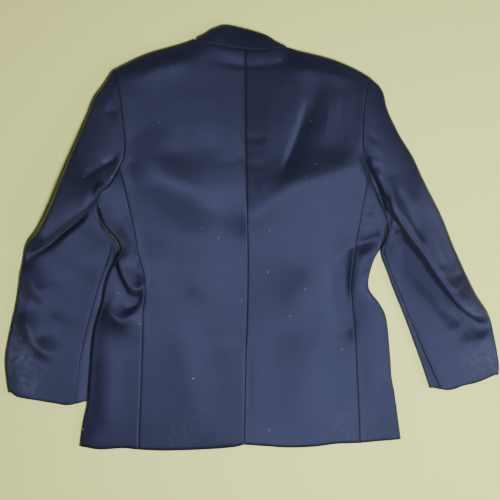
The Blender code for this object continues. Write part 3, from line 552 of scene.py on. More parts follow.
def under_place(plan):
    """Outer face of the lower ply: flat on the floor, raised over the lapels and the buttons."""
    p = np.asarray(plan, float).reshape(-1, 2)
    x = p[:, 0] - BODY_MIDDLE
    lift = (LAPEL_LIFT * smooth((p[:, 1] - BREAK_POINT + LAPEL_RUN) / LAPEL_RUN)
            * smooth((LAPEL_REACH - abs(x)) / LAPEL_EASE))
    for up in BUTTON_UP:
        away = np.hypot(p[:, 0] - button_across(), p[:, 1] - up)
        lift = np.maximum(lift, BUTTON_LIFT * smooth((BUTTON_REACH - away) / BUTTON_EASE)
                          * smooth((p[:, 0] + BUTTON_RUN) / BUTTON_RUN))
    return np.column_stack([p, lift]).reshape(np.shape(plan)[:-1] + (3,))


def refine_axis(grid, k, axis):
    """Catmull-Rom points between the rows (or columns) of a grid, k to a step."""
    g = np.moveaxis(grid, axis, 0)
    g = np.concatenate([2 * g[:1] - g[1:2], g, 2 * g[-1:] - g[-2:-1]])
    steps = [catmull(g[:-3], g[1:-2], g[2:-1], g[3:], t) for t in np.arange(k) / k]
    rows = np.stack(steps, axis=1).reshape((-1,) + g.shape[1:])
    return np.moveaxis(np.concatenate([rows, g[-2:-1]]), 0, axis)


def settle(coarse, fine):
    """The relaxed coarse grid at the fine pitch, drawn to the fine grid's borders."""
    k = (fine.shape[0] - 1) // (coarse.shape[0] - 1)
    g = refine_axis(refine_axis(coarse, k, 0), k, 1)
    off = fine - g
    u = np.linspace(0, 1, g.shape[1])[None, :, None]
    v = np.linspace(0, 1, g.shape[0])[:, None, None]
    blend = (1 - v) * off[:1] + v * off[-1:] + (1 - u) * off[:, :1] + u * off[:, -1:]
    corner = ((1 - u) * (1 - v) * off[0, 0] + u * (1 - v) * off[0, -1]
              + (1 - u) * v * off[-1, 0] + u * v * off[-1, -1])
    return relax(g + blend - corner, SETTLE_ROUNDS)


def split(values, k):
    """Every step of a list of fractions cut into k."""
    values = np.asarray(values, float)
    return np.r_[np.concatenate([np.linspace(a, b, k + 1)[:-1] for a, b in zip(values[:-1], values[1:])]),
                 values[-1]]


def coons(bottom, top, left, right, v):
    """Points inside four border lines; rows run from the bottom line to the top line."""
    u = run_of(top) / run_of(top)[-1]
    u, v = u[None, :, None], np.asarray(v)[:, None, None]
    corners = ((1 - u) * (1 - v) * bottom[0] + u * (1 - v) * bottom[-1]
               + (1 - u) * v * top[0] + u * v * top[-1])
    sides = (1 - v) * bottom[None] + v * top[None] + (1 - u) * left[:, None] + u * right[:, None]
    return sides - corners


def relax(grid, rounds=RELAX_ROUNDS):
    """The inner points of a plan grid moved until its rows and columns are smooth and uncrossed."""
    g = grid.copy()
    for _round in range(rounds):
        du = (g[1:-1, 2:] - g[1:-1, :-2]) / 2
        dv = (g[2:, 1:-1] - g[:-2, 1:-1]) / 2
        twist = (g[2:, 2:] - g[2:, :-2] - g[:-2, 2:] + g[:-2, :-2]) / 4
        a, c = (dv ** 2).sum(-1)[..., None], (du ** 2).sum(-1)[..., None]
        b = (du * dv).sum(-1)[..., None]
        middle = (a * (g[1:-1, 2:] + g[1:-1, :-2]) + c * (g[2:, 1:-1] + g[:-2, 1:-1]) - 2 * b * twist)
        g[1:-1, 1:-1] += RELAX_SHARE * (middle / (2 * (a + c)) - g[1:-1, 1:-1])
    return g


class Edge:
    """A rounded outer edge: its inset border, plan normals and depth at given fractions."""

    def __init__(self, line, normals, fractions, tapered=False, inset=EDGE_INSET):
        self.normal = along(line, fractions, normals)
        self.normal /= np.linalg.norm(self.normal, axis=1)[:, None]
        run = np.asarray(fractions) * run_of(line)[-1]
        self.depth = inset * (smooth(run / EDGE_TAPER) if tapered else np.ones(len(run)))
        self.inset = along(line, fractions) - self.normal * self.depth[:, None]

    def roll(self, k):
        """Rings around the edge, from the upper ply's border to the lower ply's."""
        top, low = top_place(self.inset), under_place(self.inset)
        rows = []
        for turn in np.linspace(0.5, -0.5, ROLL_STEPS * k // 2 + 1):
            place = low + (top - low) * (1 + math.sin(math.pi * turn)) / 2
            place[:, :2] += self.normal * (self.depth * math.cos(math.pi * turn))[:, None]
            rows.append(place)
        return np.stack(rows, axis=1)


class Half:
    """One half of the coat, its borders cut k times finer than the solids', so that neighbours
    share their points."""

    def __init__(self, name, k):
        line = {key: spline(points) for key, points in LINES[name].items()}
        self.name, self.k, self.line = name, k, line
        self.hand = 1 if name == "left" else -1
        self.body_rows, self.sleeve_rows = split(BODY_ROWS, k), split(SLEEVE_ROWS, k)
        self.back_rows = split(BACK_ROWS, k)
        count = len(line["shoulder"]) - 1
        outline = np.vstack([line["shoulder"][:-1], line["sleeve_outer"]])
        normals = outward(outline, -self.hand)
        shoulder_at = np.linspace(0, 1, SHOULDER_STEPS * k + 1)
        self.shoulder = Edge(line["shoulder"], normals[:count + 1], shoulder_at, True)
        self.outer = Edge(line["sleeve_outer"], normals[count:], self.sleeve_rows)
        self.body = Edge(line["body_edge"], outward(line["body_edge"], -self.hand), self.body_rows, True)
        self.inner = Edge(line["sleeve_inner"], outward(line["sleeve_inner"], self.hand),
                          self.sleeve_rows, True, INNER_INSET)
        join = fraction_near(line["armhole"], line["side_seam"][-1])
        hind = fraction_near(line["armhole"], line["hind_seam"][0])
        steps = ((0, join, ARM_STEPS * k), (join, hind, SCYE_STEPS * k), (hind, 1, STRIP_STEPS * k))
        at = np.r_[0.0, np.concatenate([np.linspace(a, b, n + 1)[1:] for a, b, n in steps])]
        self.armhole = along(line["armhole"], at)
        draw = self.shoulder.inset[-1] - self.armhole[0]
        self.armhole += draw * (1 - smooth(at / SCYE_DRAW))[:, None]
        self.join, self.hind = ARM_STEPS * k, (ARM_STEPS + SCYE_STEPS) * k
        self.side_seam = pinned(line["side_seam"], 1 - self.body_rows[::-1], line["side_seam"][0],
                                self.armhole[self.join])

    def back_edge(self):
        """The back's outer border from the hem: side seam, then armhole."""
        return np.vstack([self.side_seam, self.armhole[:self.join][::-1]])

    def back_plan(self):
        """The back's plan grid, from the centre seam to the side seam and armhole."""
        centre = along(spline(CENTRE), self.back_rows)
        neck = pinned(self.line["neck"], np.linspace(0, 1, NECK_STEPS * self.k + 1), centre[-1],
                      self.shoulder.inset[0])
        top = np.vstack([neck, self.shoulder.inset[1:]])
        share = run_of(top) / run_of(top)[-1]
        hem = pinned(self.line["hem_back"], share, centre[0], self.side_seam[0])
        return coons(hem, top, centre, self.back_edge(), self.back_rows)

    def front_plan(self):
        """The front's plan grid: side seam and armhole to the front edge and the lapel's fold."""
        top = self.shoulder.inset[::-1]
        share = run_of(top) / run_of(top)[-1]
        reach = FRONT_MIDDLE - self.hand * FRONT_OPENING
        foot = along(self.line["hem_back"], [FRONT_FOOT_SHARE])[0]
        foot[0] = reach - FRONT_FOOT
        low_rows = (BACK_ROWS < BREAK_SHARE).sum() * self.k
        low = np.column_stack([np.linspace(foot[0], reach, low_rows + 1),
                               np.linspace(foot[1], BREAK_POINT, low_rows + 1)])
        fold = pinned(np.array([low[-1], top[-1]]), np.linspace(0, 1, len(self.back_rows) - low_rows),
                      low[-1], top[-1])
        edge = np.vstack([low[:-1], fold])
        hem = pinned(self.line["hem_back"][::-1], share, self.side_seam[0], foot)
        return coons(hem, top, self.back_edge(), edge, self.back_rows), fold

    def side_plan(self):
        """The side panel's plan grid, from the side seam to the body's rounded edge."""
        top = self.armhole[self.join:]
        share = run_of(top) / run_of(top)[-1]
        edge = self.body.inset[::-1]
        hem = pinned(self.line["hem_side"], share, self.side_seam[0], edge[0])
        return coons(hem, top, self.side_seam, edge, 1 - self.body_rows[::-1])

    def sleeve_plans(self):
        """Plan grids from shoulder to cuff: upper ply to the hind seam, the strip inside it, and
        the lower ply on both sides of the forearm seam."""
        cuff, rows = self.line["cuff"], self.sleeve_rows
        outer, inner = self.outer.inset, self.inner.inset
        hem_at = fraction_near(cuff, self.line["hind_seam"][-1])
        whole = pinned(cuff, np.linspace(0, 1, CUFF_STEPS + 1), outer[-1], inner[-1])
        foot_of_hind = along(whole, [hem_at])[0]
        hind = pinned(self.line["hind_seam"], rows, self.armhole[self.hind], foot_of_hind)
        start, fore_end = self.armhole[FORE_START * self.k], along(whole, [FORE_SHARE])[0]
        fore = pinned(np.array([start, fore_end]), rows, start, fore_end)
        fore = fore + np.sin(math.pi * rows)[:, None] * self.outer.normal * FORE_BOW
        count = len(self.armhole) - 1

        def patch(first, last, left, right, from_share, to_share):
            head = self.armhole[first:last + 1]
            share = run_of(head) / run_of(head)[-1]
            ends = share[:, None]
            foot = along(whole, from_share + (to_share - from_share) * share)
            foot += (left[-1] - foot[0]) * (1 - ends) + (right[-1] - foot[-1]) * ends
            return coons(head, foot, left, right, rows)

        return {"upper": patch(0, self.hind, outer, hind, 0, hem_at),
                "strip": patch(self.hind, count, hind, inner, hem_at, 1),
                "lower_outer": patch(0, FORE_START * self.k, outer, fore, 0, FORE_SHARE),
                "lower_inner": patch(FORE_START * self.k, count, fore, inner, FORE_SHARE, 1)}


def vent_lift(plan):
    """The overlapping panel's raise over the vent's underlap."""
    centre = np.interp(plan[..., 1], [p[1] for p in CENTRE], [p[0] for p in CENTRE])
    across = smooth((VENT_WIDTH + VENT_EASE - (centre - plan[..., 0])) / VENT_RUN)
    return VENT_LIFT * across * smooth((VENT_TOP + VENT_START - plan[..., 1]) / VENT_RISE)


class Coat:
    """Every panel as a sheet of its outer face, and as a closed ply in metres."""

    def __init__(self, k):
        self.k = k
        self.sheets = {}
        for name in LINES:
            self.cut_half(Half(name, k), Half(name, 1))
        self.add("collar", collar(k), 1)
        self.add("vent_underlap", underlap(k), 1)
        self.total = shared_normals(self.sheets.values())
        self.solids = {name: thicken(sheet, self.total) for name, sheet in self.sheets.items()}

    def add(self, name, grid, sign):
        self.sheets[name] = Sheet(grid, sign)

    def cut_half(self, half, coarse):
        name, k = half.name, half.k
        back = half.back_plan()
        side = settle(relax(coarse.side_plan()), half.side_plan())
        front, fold = half.front_plan()
        loose, rough = half.sleeve_plans(), coarse.sleeve_plans()
        sleeve = {key: settle(relax(rough[key]), loose[key]) for key in loose}
        face = top_place(back)
        if name == "left":
            face[..., 2] += vent_lift(back)
        half_roll, neck_count = ROLL_STEPS * k // 4, NECK_STEPS * k
        quarter = half.shoulder.roll(k)
        upper = np.full((half_roll,) + face.shape[1:], np.nan)
        upper[:, neck_count:] = quarter[:, 1:half_roll + 1].transpose(1, 0, 2)
        self.add("back_" + name, np.vstack([face, upper]), 1)
        lower = quarter[::-1, half_roll:-1].transpose(1, 0, 2)[::-1]
        self.add("front_" + name, np.vstack([under_place(front), lower]), -1)
        turn = half.body.roll(k)[::-1]
        self.add("side_" + name, np.hstack([top_place(side)[:, :-1], turn,
                                            under_place(side)[:, :-1][:, ::-1]]), 1)
        turn = half.outer.roll(k)
        self.add("top_sleeve_" + name, np.hstack([top_place(sleeve["upper"])[:, :0:-1], turn,
                                                  under_place(sleeve["lower_outer"])[:, 1:]]), 1)
        turn = half.inner.roll(k)
        self.add("under_sleeve_" + name, np.hstack([top_place(sleeve["strip"])[:, :-1], turn,
                                                    under_place(sleeve["lower_inner"])[:, :-1][:, ::-1]]), 1)
        self.add("lapel_" + name, lapel(half, fold, LAPEL_SECTIONS, LAPEL_STEPS * k), 1)
        self.add("collar_leaf_" + name, lapel(half, fold, LEAF_SECTIONS, LEAF_STEPS * k), 1)


def lapel(half, fold, sections, steps):
    """A flat ply on the floor under the front, from its fold out to the edge."""
    fold = spline([fold[0], fold[len(fold) // 2], fold[-1]])
    at, width, sweep = (np.array(column, float) for column in zip(*sections))
    s = np.linspace(at[0], at[-1], steps + 1)
    normal = along(fold, s, outward(fold, half.hand))
    root = along(fold, s) + normal * LAPEL_FOLD
    w, lean = np.interp(s, at, width), np.interp(s, at, sweep)
    axis = (fold[-1] - fold[0]) / np.linalg.norm(fold[-1] - fold[0])
    rows = []
    for t in np.linspace(0, 1, PLY_STEPS * half.k + 1):
        rows.append(root + normal * (w * t)[:, None] + axis * (lean * t)[:, None])
    plan = np.stack(rows, axis=1)
    return np.dstack([plan, np.full(plan.shape[:2], WALL)])


def collar(k):
    """The collar over the back of the neck: fall, fold and stand in one sheet."""
    top, low = spline(COLLAR_TOP), spline(COLLAR_LOW)
    s = np.linspace(COLLAR_ENDS[0], COLLAR_ENDS[1], COLLAR_STEPS * k + 1)
    crest, fall = along(top, s), along(low, s)
    normal = along(top, s, outward(top, 1))
    neck = np.vstack([spline(LINES["left"]["neck"])[::-1], spline(LINES["right"]["neck"])[1:]])
    seam = np.column_stack([fall[:, 0],
                            np.interp(fall[:, 0], neck[:, 0], neck[:, 1]) + COLLAR_SEAM_SHIFT])
    room = np.hypot(*(crest - seam).T)
    depth = np.clip(COLLAR_ROLL_SHARE * room, COLLAR_ROLL_LEAST, COLLAR_ROLL)
    inset = crest - normal * depth[:, None]
    at_seam = top_place(seam - (0, 1))[:, 2]
    near = np.maximum(top_place(fall)[:, 2], at_seam) + WALL + COLLAR_CLEAR
    near = np.pad(near, COLLAR_WINDOW, mode="edge")
    near = np.max([near[i:i + len(s)] for i in range(2 * COLLAR_WINDOW + 1)], axis=0)
    high = np.maximum(COLLAR_TOP_Z, near - COLLAR_FALL_SLOPE * (room - depth))
    deep = np.maximum(COLLAR_LOW_Z, at_seam - WALL - (room - depth))
    rows = []
    for t in np.linspace(0, 1, COLLAR_FALL_STEPS * k + 1):
        share = t ** COLLAR_SLOPE
        rows.append(np.column_stack([fall + (inset - fall) * t, near + (high - near) * share]))
    for angle in np.linspace(0.5, -0.5, ROLL_STEPS * k + 1)[1:-1] * math.pi:
        plan = inset + normal * (depth * math.cos(angle))[:, None]
        rows.append(np.column_stack([plan, (high + deep) / 2 + (high - deep) / 2 * math.sin(angle)]))
    for t in np.linspace(0, 1, COLLAR_STAND_STEPS * k + 1):
        share = smooth(1 - t)
        rows.append(np.column_stack([inset + (seam - inset) * t,
                                     at_seam - WALL + (deep - at_seam + WALL) * share]))
    return np.stack(rows, axis=1)


def underlap(k):
    """The right panel's turned strip under the left panel's vent edge."""
    centre = along(spline(CENTRE), split(BACK_ROWS, k))
    centre = centre[centre[:, 1] <= VENT_TOP]
    rows = [top_place(centre - np.array([VENT_WIDTH * t, 0]))
            for t in np.linspace(0, 1, UNDERLAP_STEPS * k + 1)]
    return np.stack(rows, axis=1)


def face_vectors(points, faces):
    """Each face's normal, as long as its area."""
    a, b, c, d = (points[faces[:, k]] for k in range(4))
    return np.cross(c - a, d - b) / 2


class Sheet:
    """A grid's points and faces, wound so that the first column looks the given way (+1 up, -1
    down), and the place of each point in the flat cloth (across and along the rows, mm)."""

    def __init__(self, grid, sign):
        rows, cols = grid.shape[:2]
        keep = ~np.isnan(grid[..., 0])
        number = (np.cumsum(keep) - 1).reshape(rows, cols)
        whole = keep[:-1, :-1] & keep[1:, :-1] & keep[:-1, 1:] & keep[1:, 1:]
        self.faces = np.stack([number[:-1, :-1], number[:-1, 1:], number[1:, 1:], number[1:, :-1]],
                              axis=-1)[whole]
        self.points = grid[keep]
        if face_vectors(self.points, self.faces[::cols - 1])[:, 2].sum() * sign < 0:
            self.faces = self.faces[:, ::-1]
        filled = np.where(keep[..., None], grid, 0.0)
        across = np.linalg.norm(np.diff(filled, axis=1), axis=2) * (keep[:, 1:] & keep[:, :-1])
        down = np.linalg.norm(np.diff(filled, axis=0), axis=2) * (keep[1:] & keep[:-1])
        middle = cols // 2 if keep[:, cols // 2].all() else cols - 2
        u = np.concatenate([np.zeros((rows, 1)), np.cumsum(across, axis=1)], axis=1)
        u -= u[:, middle:middle + 1]
        v = np.concatenate([np.zeros((1, cols)), np.cumsum(down, axis=0)], axis=0)
        self.cloth = np.stack([u, v], axis=-1)[keep]


def keys_of(points):
    """One whole number for each place, to a tenth of a millimetre, so that seam points match."""
    q = (np.round(points * 10) + 40000).astype(np.int64)
    return (q[:, 0] * 100003 + q[:, 1]) * 100003 + q[:, 2]


def shared_normals(sheets):
    """Vertex normals, common to every panel that meets at a seam point, as sorted keys and sums."""
    keys, vectors = [], []
    for sheet in sheets:
        corner = np.repeat(face_vectors(sheet.points, sheet.faces)[:, None], 4, axis=1)
        keys.append(keys_of(sheet.points)[sheet.faces].ravel())
        vectors.append(corner.reshape(-1, 3))
    found, place = np.unique(np.concatenate(keys), return_inverse=True)
    vectors = np.concatenate(vectors)
    total = np.stack([np.bincount(place, weights=vectors[:, axis], minlength=len(found))
                      for axis in range(3)], axis=1)
    return found, total


def border_of(faces):
    """Open edges of a sheet, as vertex pairs in their face's winding, with the face of each."""
    a = faces.ravel()
    b = np.roll(faces, -1, axis=1).ravel()
    face = np.repeat(np.arange(len(faces)), 4)
    count = faces.max() + 1
    twin = np.isin(a * count + b, b * count + a)
    return a[~twin], b[~twin], face[~twin]


def thicken(sheet, total):
    """A closed ply in metres: the outer face drawn in at its border, a rounded rim and the inner
    face WALL below it. Returns points, faces and the cloth's own place of each point."""
    points, faces = sheet.points, sheet.faces
    vectors = face_vectors(points, faces)
    unit = vectors / np.linalg.norm(vectors, axis=1)[:, None]
    normal = total[1][np.searchsorted(total[0], keys_of(points))]
    normal = normal / np.linalg.norm(normal, axis=1)[:, None]
    lean, uses = np.zeros(len(points)), np.zeros(len(points))
    for c in range(4):
        np.add.at(lean, faces[:, c], (normal[faces[:, c]] * unit).sum(1))
        np.add.at(uses, faces[:, c], 1)
    reach = WALL / np.clip(lean / uses, LEAN_LEAST, 1.0)

    a, b, k = border_of(faces)
    run = points[b] - points[a]
    inward = points[faces[k]].mean(1) - points[a]
    inward -= run * ((inward * run).sum(1) / (run * run).sum(1))[:, None]
    inward /= np.linalg.norm(inward, axis=1)[:, None]
    pull, first = np.zeros_like(points), np.zeros_like(points)
    np.add.at(pull, a, inward)
    np.add.at(pull, b, inward)
    first[a] = inward
    rim = np.unique(np.r_[a, b])
    second = pull[rim] - first[rim]
    miter = pull[rim] / np.maximum(1 + (first[rim] * second).sum(1), MITER_LEAST)[:, None]
    outer = points.copy()
    outer[rim] += miter * SEAM_GAP / 2
    inner = outer - normal * reach[:, None]
    middle_ring = (outer + inner)[rim] / 2
    shoulder = np.clip(RIM_ROUND / np.maximum(np.linalg.norm(miter, axis=1), MITER_SHORT), 0, RIM_ROUND)
    outer[rim] += miter * shoulder[:, None] - normal[rim] * RIM_DROP
    inner[rim] += miter * shoulder[:, None] + normal[rim] * RIM_DROP
    count = len(points)
    slot = np.full(count, -1)
    slot[rim] = np.arange(len(rim)) + 2 * count
    shell = [faces, faces[:, ::-1] + count,
             np.column_stack([b, a, slot[a], slot[b]]),
             np.column_stack([slot[b], slot[a], a + count, b + count])]
    cloth = np.vstack([sheet.cloth, sheet.cloth, sheet.cloth[rim]])
    every = (np.vstack([outer, inner, middle_ring]) - ORIGIN) * MM
    return every, np.vstack(shell), cloth * MM


def socket(group, name, kind, way="INPUT", value=None):
    made = group.interface.new_socket(name=name, in_out=way, socket_type=kind)
    if value is not None:
        made.default_value = value
    return made


class Nodes:
    """Adds nodes to a tree and joins them, a value or a socket for each named input."""

    def __init__(self, tree):
        self.tree = tree

    def add(self, kind, settings=None, **inputs):
        node = self.tree.nodes.new(kind)
        for key, value in (settings or {}).items():
            setattr(node, key, value)
        for key, value in inputs.items():
            self.put(node, key.replace("_", " "), value)
        return node

    def put(self, node, key, value):
        target = node.inputs[int(key[1:])] if key[0] == "n" and key[1:].isdigit() else node.inputs[key]
        if isinstance(value, bpy.types.NodeSocket):
            self.tree.links.new(value, target)
        else:
            target.default_value = value

    def math(self, operation, a, b=None, clamp=False):
        node = self.add("ShaderNodeMath", {"operation": operation, "use_clamp": clamp}, n0=a)
        if b is not None:
            self.put(node, "n1", b)
        return node.outputs[0]

    def mix(self, factor, a, b, blend="MIX"):
        node = self.add("ShaderNodeMix", {"data_type": "RGBA", "blend_type": blend})
        for key, value in ((0, factor), (6, a), (7, b)):
            if isinstance(value, bpy.types.NodeSocket):
                self.tree.links.new(value, node.inputs[key])
            else:
                node.inputs[key].default_value = value
        return node.outputs[2]

    def noise(self, vector, scale, detail=2.0, rough=0.5):
        return self.add("ShaderNodeTexNoise", None, Vector=vector, Scale=scale, Detail=detail,
                        Roughness=rough).outputs["Fac"]

    def ramp(self, value, low, high):
        return self.add("ShaderNodeMapRange", {"interpolation_type": "SMOOTHSTEP"}, Value=value,
                        From_Min=low, From_Max=high).outputs[0]

    def place(self):
        return self.add("ShaderNodeTexCoord").outputs["Object"]

    def scaled(self, vector, scale):
        return self.add("ShaderNodeVectorMath", {"operation": "MULTIPLY"}, n0=vector, n1=scale).outputs[0]

    def bump(self, height, strength):
        return self.add("ShaderNodeBump", None, Height=height, Strength=strength, Distance=1.0).outputs[0]

    def xyz(self, x=0.0, y=0.0, z=0.0):
        return self.add("ShaderNodeCombineXYZ", None, X=x, Y=y, Z=z).outputs[0]


def rgba(colour, share=1.0):
    return tuple(share * c for c in colour) + (1,)


def new_group(name):
    group = bpy.data.node_groups.new(name, "ShaderNodeTree")
    nodes = Nodes(group)
    return group, nodes, nodes.add("NodeGroupInput"), nodes.add("NodeGroupOutput")


def twill_group():
    """Worsted twill: slanting ridges of yarn, uneven from yarn to yarn."""
    group = bpy.data.node_groups.get("worsted_twill")
    if group:
        return group
    group, nodes, given, out = new_group("worsted_twill")
    for name, kind, value in (("Cloth Place", "NodeSocketVector", None), ("Pitch", "NodeSocketFloat", 0.001),
                              ("Slant", "NodeSocketFloat", 1.6), ("Colour", "NodeSocketColor", None),
                              ("Variation", "NodeSocketFloat", 0.3)):
        socket(group, name, kind, "INPUT", value)
    socket(group, "Colour", "NodeSocketColor", "OUTPUT")
    socket(group, "Height", "NodeSocketFloat", "OUTPUT")
    xyz = nodes.add("ShaderNodeSeparateXYZ", None, Vector=given.outputs["Cloth Place"])
    slubs = nodes.noise(given.outputs["Cloth Place"], 900.0, 2.0)
    slanted = nodes.math("ADD", nodes.math("MULTIPLY", xyz.outputs[0], given.outputs["Slant"]),
                         xyz.outputs[1])
    turns = nodes.math("ADD", nodes.math("DIVIDE", slanted, given.outputs["Pitch"]), slubs)
    picks = nodes.math("DIVIDE", nodes.math("SUBTRACT", xyz.outputs[0], xyz.outputs[1]),
                       given.outputs["Pitch"])

    def swell(turn):
        wave = nodes.math("SINE", nodes.math("MULTIPLY", turn, TURN))
        return nodes.math("ADD", nodes.math("MULTIPLY", wave, 0.5), 0.5)

    ridge, steps = swell(turns), swell(picks)
    yarn = nodes.math("ADD", nodes.math("MULTIPLY", ridge, 0.75), nodes.math("MULTIPLY", steps, 0.25))
    streak = nodes.noise(nodes.scaled(given.outputs["Cloth Place"], (700.0, 60.0, 1.0)), 1.0, 1.0)
    parts = [nodes.math("MULTIPLY", nodes.math("SUBTRACT", value, 0.5), given.outputs["Variation"])
             for value in (yarn, streak)]
    level = nodes.math("ADD", nodes.math("ADD", *parts), 1.0)
    grey = nodes.add("ShaderNodeCombineColor", None, Red=level, Green=level, Blue=level).outputs[0]
    nodes.put(out, "Colour", nodes.mix(1.0, given.outputs["Colour"], grey, "MULTIPLY"))
    nodes.put(out, "Height", yarn)
    return group


def dust_and_sheen_group():
    """Pale dust and rubbed nap, partly a painted sheen of worn cloth: blotches inside the round areas that a
    list of places gives.
    """
    group = bpy.data.node_groups.get("rubbed_dust")
    if group:
        return group
    group, nodes, given, out = new_group("rubbed_dust")
    for name, kind, value in (("Place", "NodeSocketVector", None), ("Amount", "NodeSocketFloat", 1.0),
                              ("Grain", "NodeSocketFloat", 95.0)):
        socket(group, name, kind, "INPUT", value)
    socket(group, "Mask", "NodeSocketFloat", "OUTPUT")
    total = None
    for (x, y), reach, strength in DUST_AND_SHEEN:
        centre = ((x - ORIGIN[0]) * MM, (y - ORIGIN[1]) * MM, 0.015)
        away = nodes.add("ShaderNodeVectorMath", {"operation": "DISTANCE"}, n0=given.outputs["Place"],
                         n1=centre).outputs["Value"]
        near = nodes.math("MULTIPLY", nodes.ramp(away, reach * MM, 0.0), strength)
        total = near if total is None else nodes.math("MAXIMUM", total, near)
    blotch = nodes.ramp(nodes.noise(given.outputs["Place"], given.outputs["Grain"], 4.0, 0.6), 0.36, 0.82)
    mask = nodes.math("MULTIPLY", nodes.math("MULTIPLY", total, blotch), given.outputs["Amount"], True)
    nodes.put(out, "Mask", mask)
    return group


def group_node(nodes, group, **inputs):
    node = nodes.add("ShaderNodeGroup", {"node_tree": group})
    for key, value in inputs.items():
        nodes.put(node, key.replace("_", " "), value)
    return node


def plain_material(name):
    made = bpy.data.materials.new(name)
    made.use_nodes = True
    nodes = Nodes(made.node_tree)
    return made, nodes, made.node_tree.nodes["Principled BSDF"]


def wool_material():
    """Navy worsted with its nap and sheen, and paler rubbed places and dust, which are partly painted sheen.
    """
    made = bpy.data.materials.get("navy_worsted")
    if made:
        return made
    look = bpy.context.scene.blazer_cloth
    made, nodes, shader = plain_material("navy_worsted")
    cloth = nodes.add("ShaderNodeUVMap", {"uv_map": "cloth"}).outputs[0]
    place = nodes.place()
    cloud = nodes.ramp(nodes.noise(place, 9.0, 4.0, 0.6), 0.3, 0.7)
    base = nodes.mix(cloud, rgba(look.shade_colour), rgba(look.wool_colour))
    twill = group_node(nodes, twill_group(), Cloth_Place=cloth, Pitch=look.twill_pitch, Colour=base,
                       Variation=look.yarn_variation)
    nap = nodes.noise(place, 420.0, 3.0, 0.6)
    fuzz = nodes.mix(nodes.math("MULTIPLY", nodes.ramp(nap, 0.5, 0.72), NAP_SHARE),
                     twill.outputs["Colour"], rgba(look.nap_colour))
    dust_and_sheen = group_node(nodes, dust_and_sheen_group(), Place=place, Amount=look.dust_and_sheen)
    # painted sheen: the rubbed places are mixed towards a pale colour that stands partly for dust and partly
    # for the shine of worn cloth
    nodes.put(shader, "Base Color", nodes.mix(dust_and_sheen.outputs["Mask"], fuzz, rgba(look.dust_and_sheen_colour)))
    rough = nodes.math("ADD", nodes.math("MULTIPLY", nap, NAP_ROUGH), WOOL_ROUGH)
    nodes.put(shader, "Roughness", rough)
    height = nodes.math("MULTIPLY", twill.outputs["Height"], TWILL_HEIGHT)
    for scale, detail, grain, tall in NAP_BUMPS:
        fibre = nodes.noise(place, scale, detail, grain)
        height = nodes.math("ADD", height, nodes.math("MULTIPLY", fibre, tall))
    nodes.put(shader, "Normal", nodes.bump(height, 0.9))
    shader.inputs["Sheen Weight"].default_value = look.sheen
    shader.inputs["Sheen Roughness"].default_value = 0.45
    shader.inputs["Sheen Tint"].default_value = (0.62, 0.68, 0.95, 1)
    shader.inputs["Specular IOR Level"].default_value = 0.45
    shader.inputs["Specular Tint"].default_value = (0.43, 0.49, 1.0, 1)
    made.diffuse_color = rgba(look.wool_colour)
    return made


def thread_material():
    """Sewing thread, twisted, a little glossier than the cloth."""
    made = bpy.data.materials.get("navy_thread")
    if made:
        return made
    look = bpy.context.scene.blazer_sewing
    made, nodes, shader = plain_material("navy_thread")
    place = nodes.place()
    twist = nodes.noise(place, 2400.0, 1.0)
    nodes.put(shader, "Base Color", nodes.mix(twist, rgba(look.thread_colour, 0.5),
                                              rgba(look.thread_colour)))
    nodes.put(shader, "Normal", nodes.bump(nodes.math("MULTIPLY", twist, 0.00005), 0.8))
    shader.inputs["Roughness"].default_value = 0.55
    shader.inputs["Sheen Weight"].default_value = 0.2
    return made


def lint_material():
    """Pale dull fibre."""
    made = bpy.data.materials.get("pale_lint")
    if made:
        return made
    made, nodes, shader = plain_material("pale_lint")
    place = nodes.place()
    nodes.put(shader, "Base Color", nodes.mix(nodes.noise(place, 700.0), (0.42, 0.42, 0.40, 1),
                                              (0.72, 0.71, 0.66, 1)))
    shader.inputs["Roughness"].default_value = 0.95
    return made


def horn_material():
    """Dark mottled horn for the buttons, with fine scratches."""
    made = bpy.data.materials.get("dark_horn")
    if made:
        return made
    look = bpy.context.scene.blazer_sewing
    made, nodes, shader = plain_material("dark_horn")
    place = nodes.place()
    grain = nodes.ramp(nodes.noise(nodes.scaled(place, (90.0, 420.0, 90.0)), 1.0, 5.0, 0.6), 0.35, 0.7)
    nodes.put(shader, "Base Color", nodes.mix(grain, rgba(look.horn_colour), (0.085, 0.060, 0.042, 1)))
    scratch = nodes.noise(place, 1500.0, 3.0)
    nodes.put(shader, "Roughness", nodes.math("ADD", nodes.math("MULTIPLY", scratch, 0.25), 0.25))
    nodes.put(shader, "Normal", nodes.bump(nodes.math("MULTIPLY", scratch, 0.00003), 0.6))
    return made


def link(name, data):
    """A new object with the data, in the scene."""
    made = bpy.data.objects.new(name, data)
    bpy.context.scene.collection.objects.link(made)
    return made


def soften(mesh):
    mesh.polygons.foreach_set("use_smooth", np.ones(len(mesh.polygons), bool))


def add_cloth(name, points, faces, cloth):
    """A cloth piece, with its place in the flat cloth as a UV map."""
    mesh = bpy.data.meshes.new(name)
    mesh.from_pydata(points.tolist(), [], faces.tolist())
    soften(mesh)
    layer = mesh.uv_layers.new(name="cloth")
    corner = np.empty(len(mesh.loops), np.int32)
    mesh.loops.foreach_get("vertex_index", corner)
    layer.data.foreach_set("uv", cloth[corner].astype(np.float32).ravel())
    mesh.update()
    mesh.materials.append(wool_material())
    return link(name, mesh)


@functools.lru_cache(maxsize=1)
def coat(k):
    return Coat(k)


def add_panels(names):
    """The cloth pieces of the given nodes, cut as finely as the panel sets, each put in place of its solid,
    which is hidden.
    """
    look = bpy.context.scene.blazer_cloth
    pieces = coat(look.fineness)
    for node in names:
        piece = add_cloth(node + "_cloth", *pieces.solids[node])
        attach(piece, ROOT)
        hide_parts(node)


def both(*names):
    return [name + side for name in names for side in ("_left", "_right")]


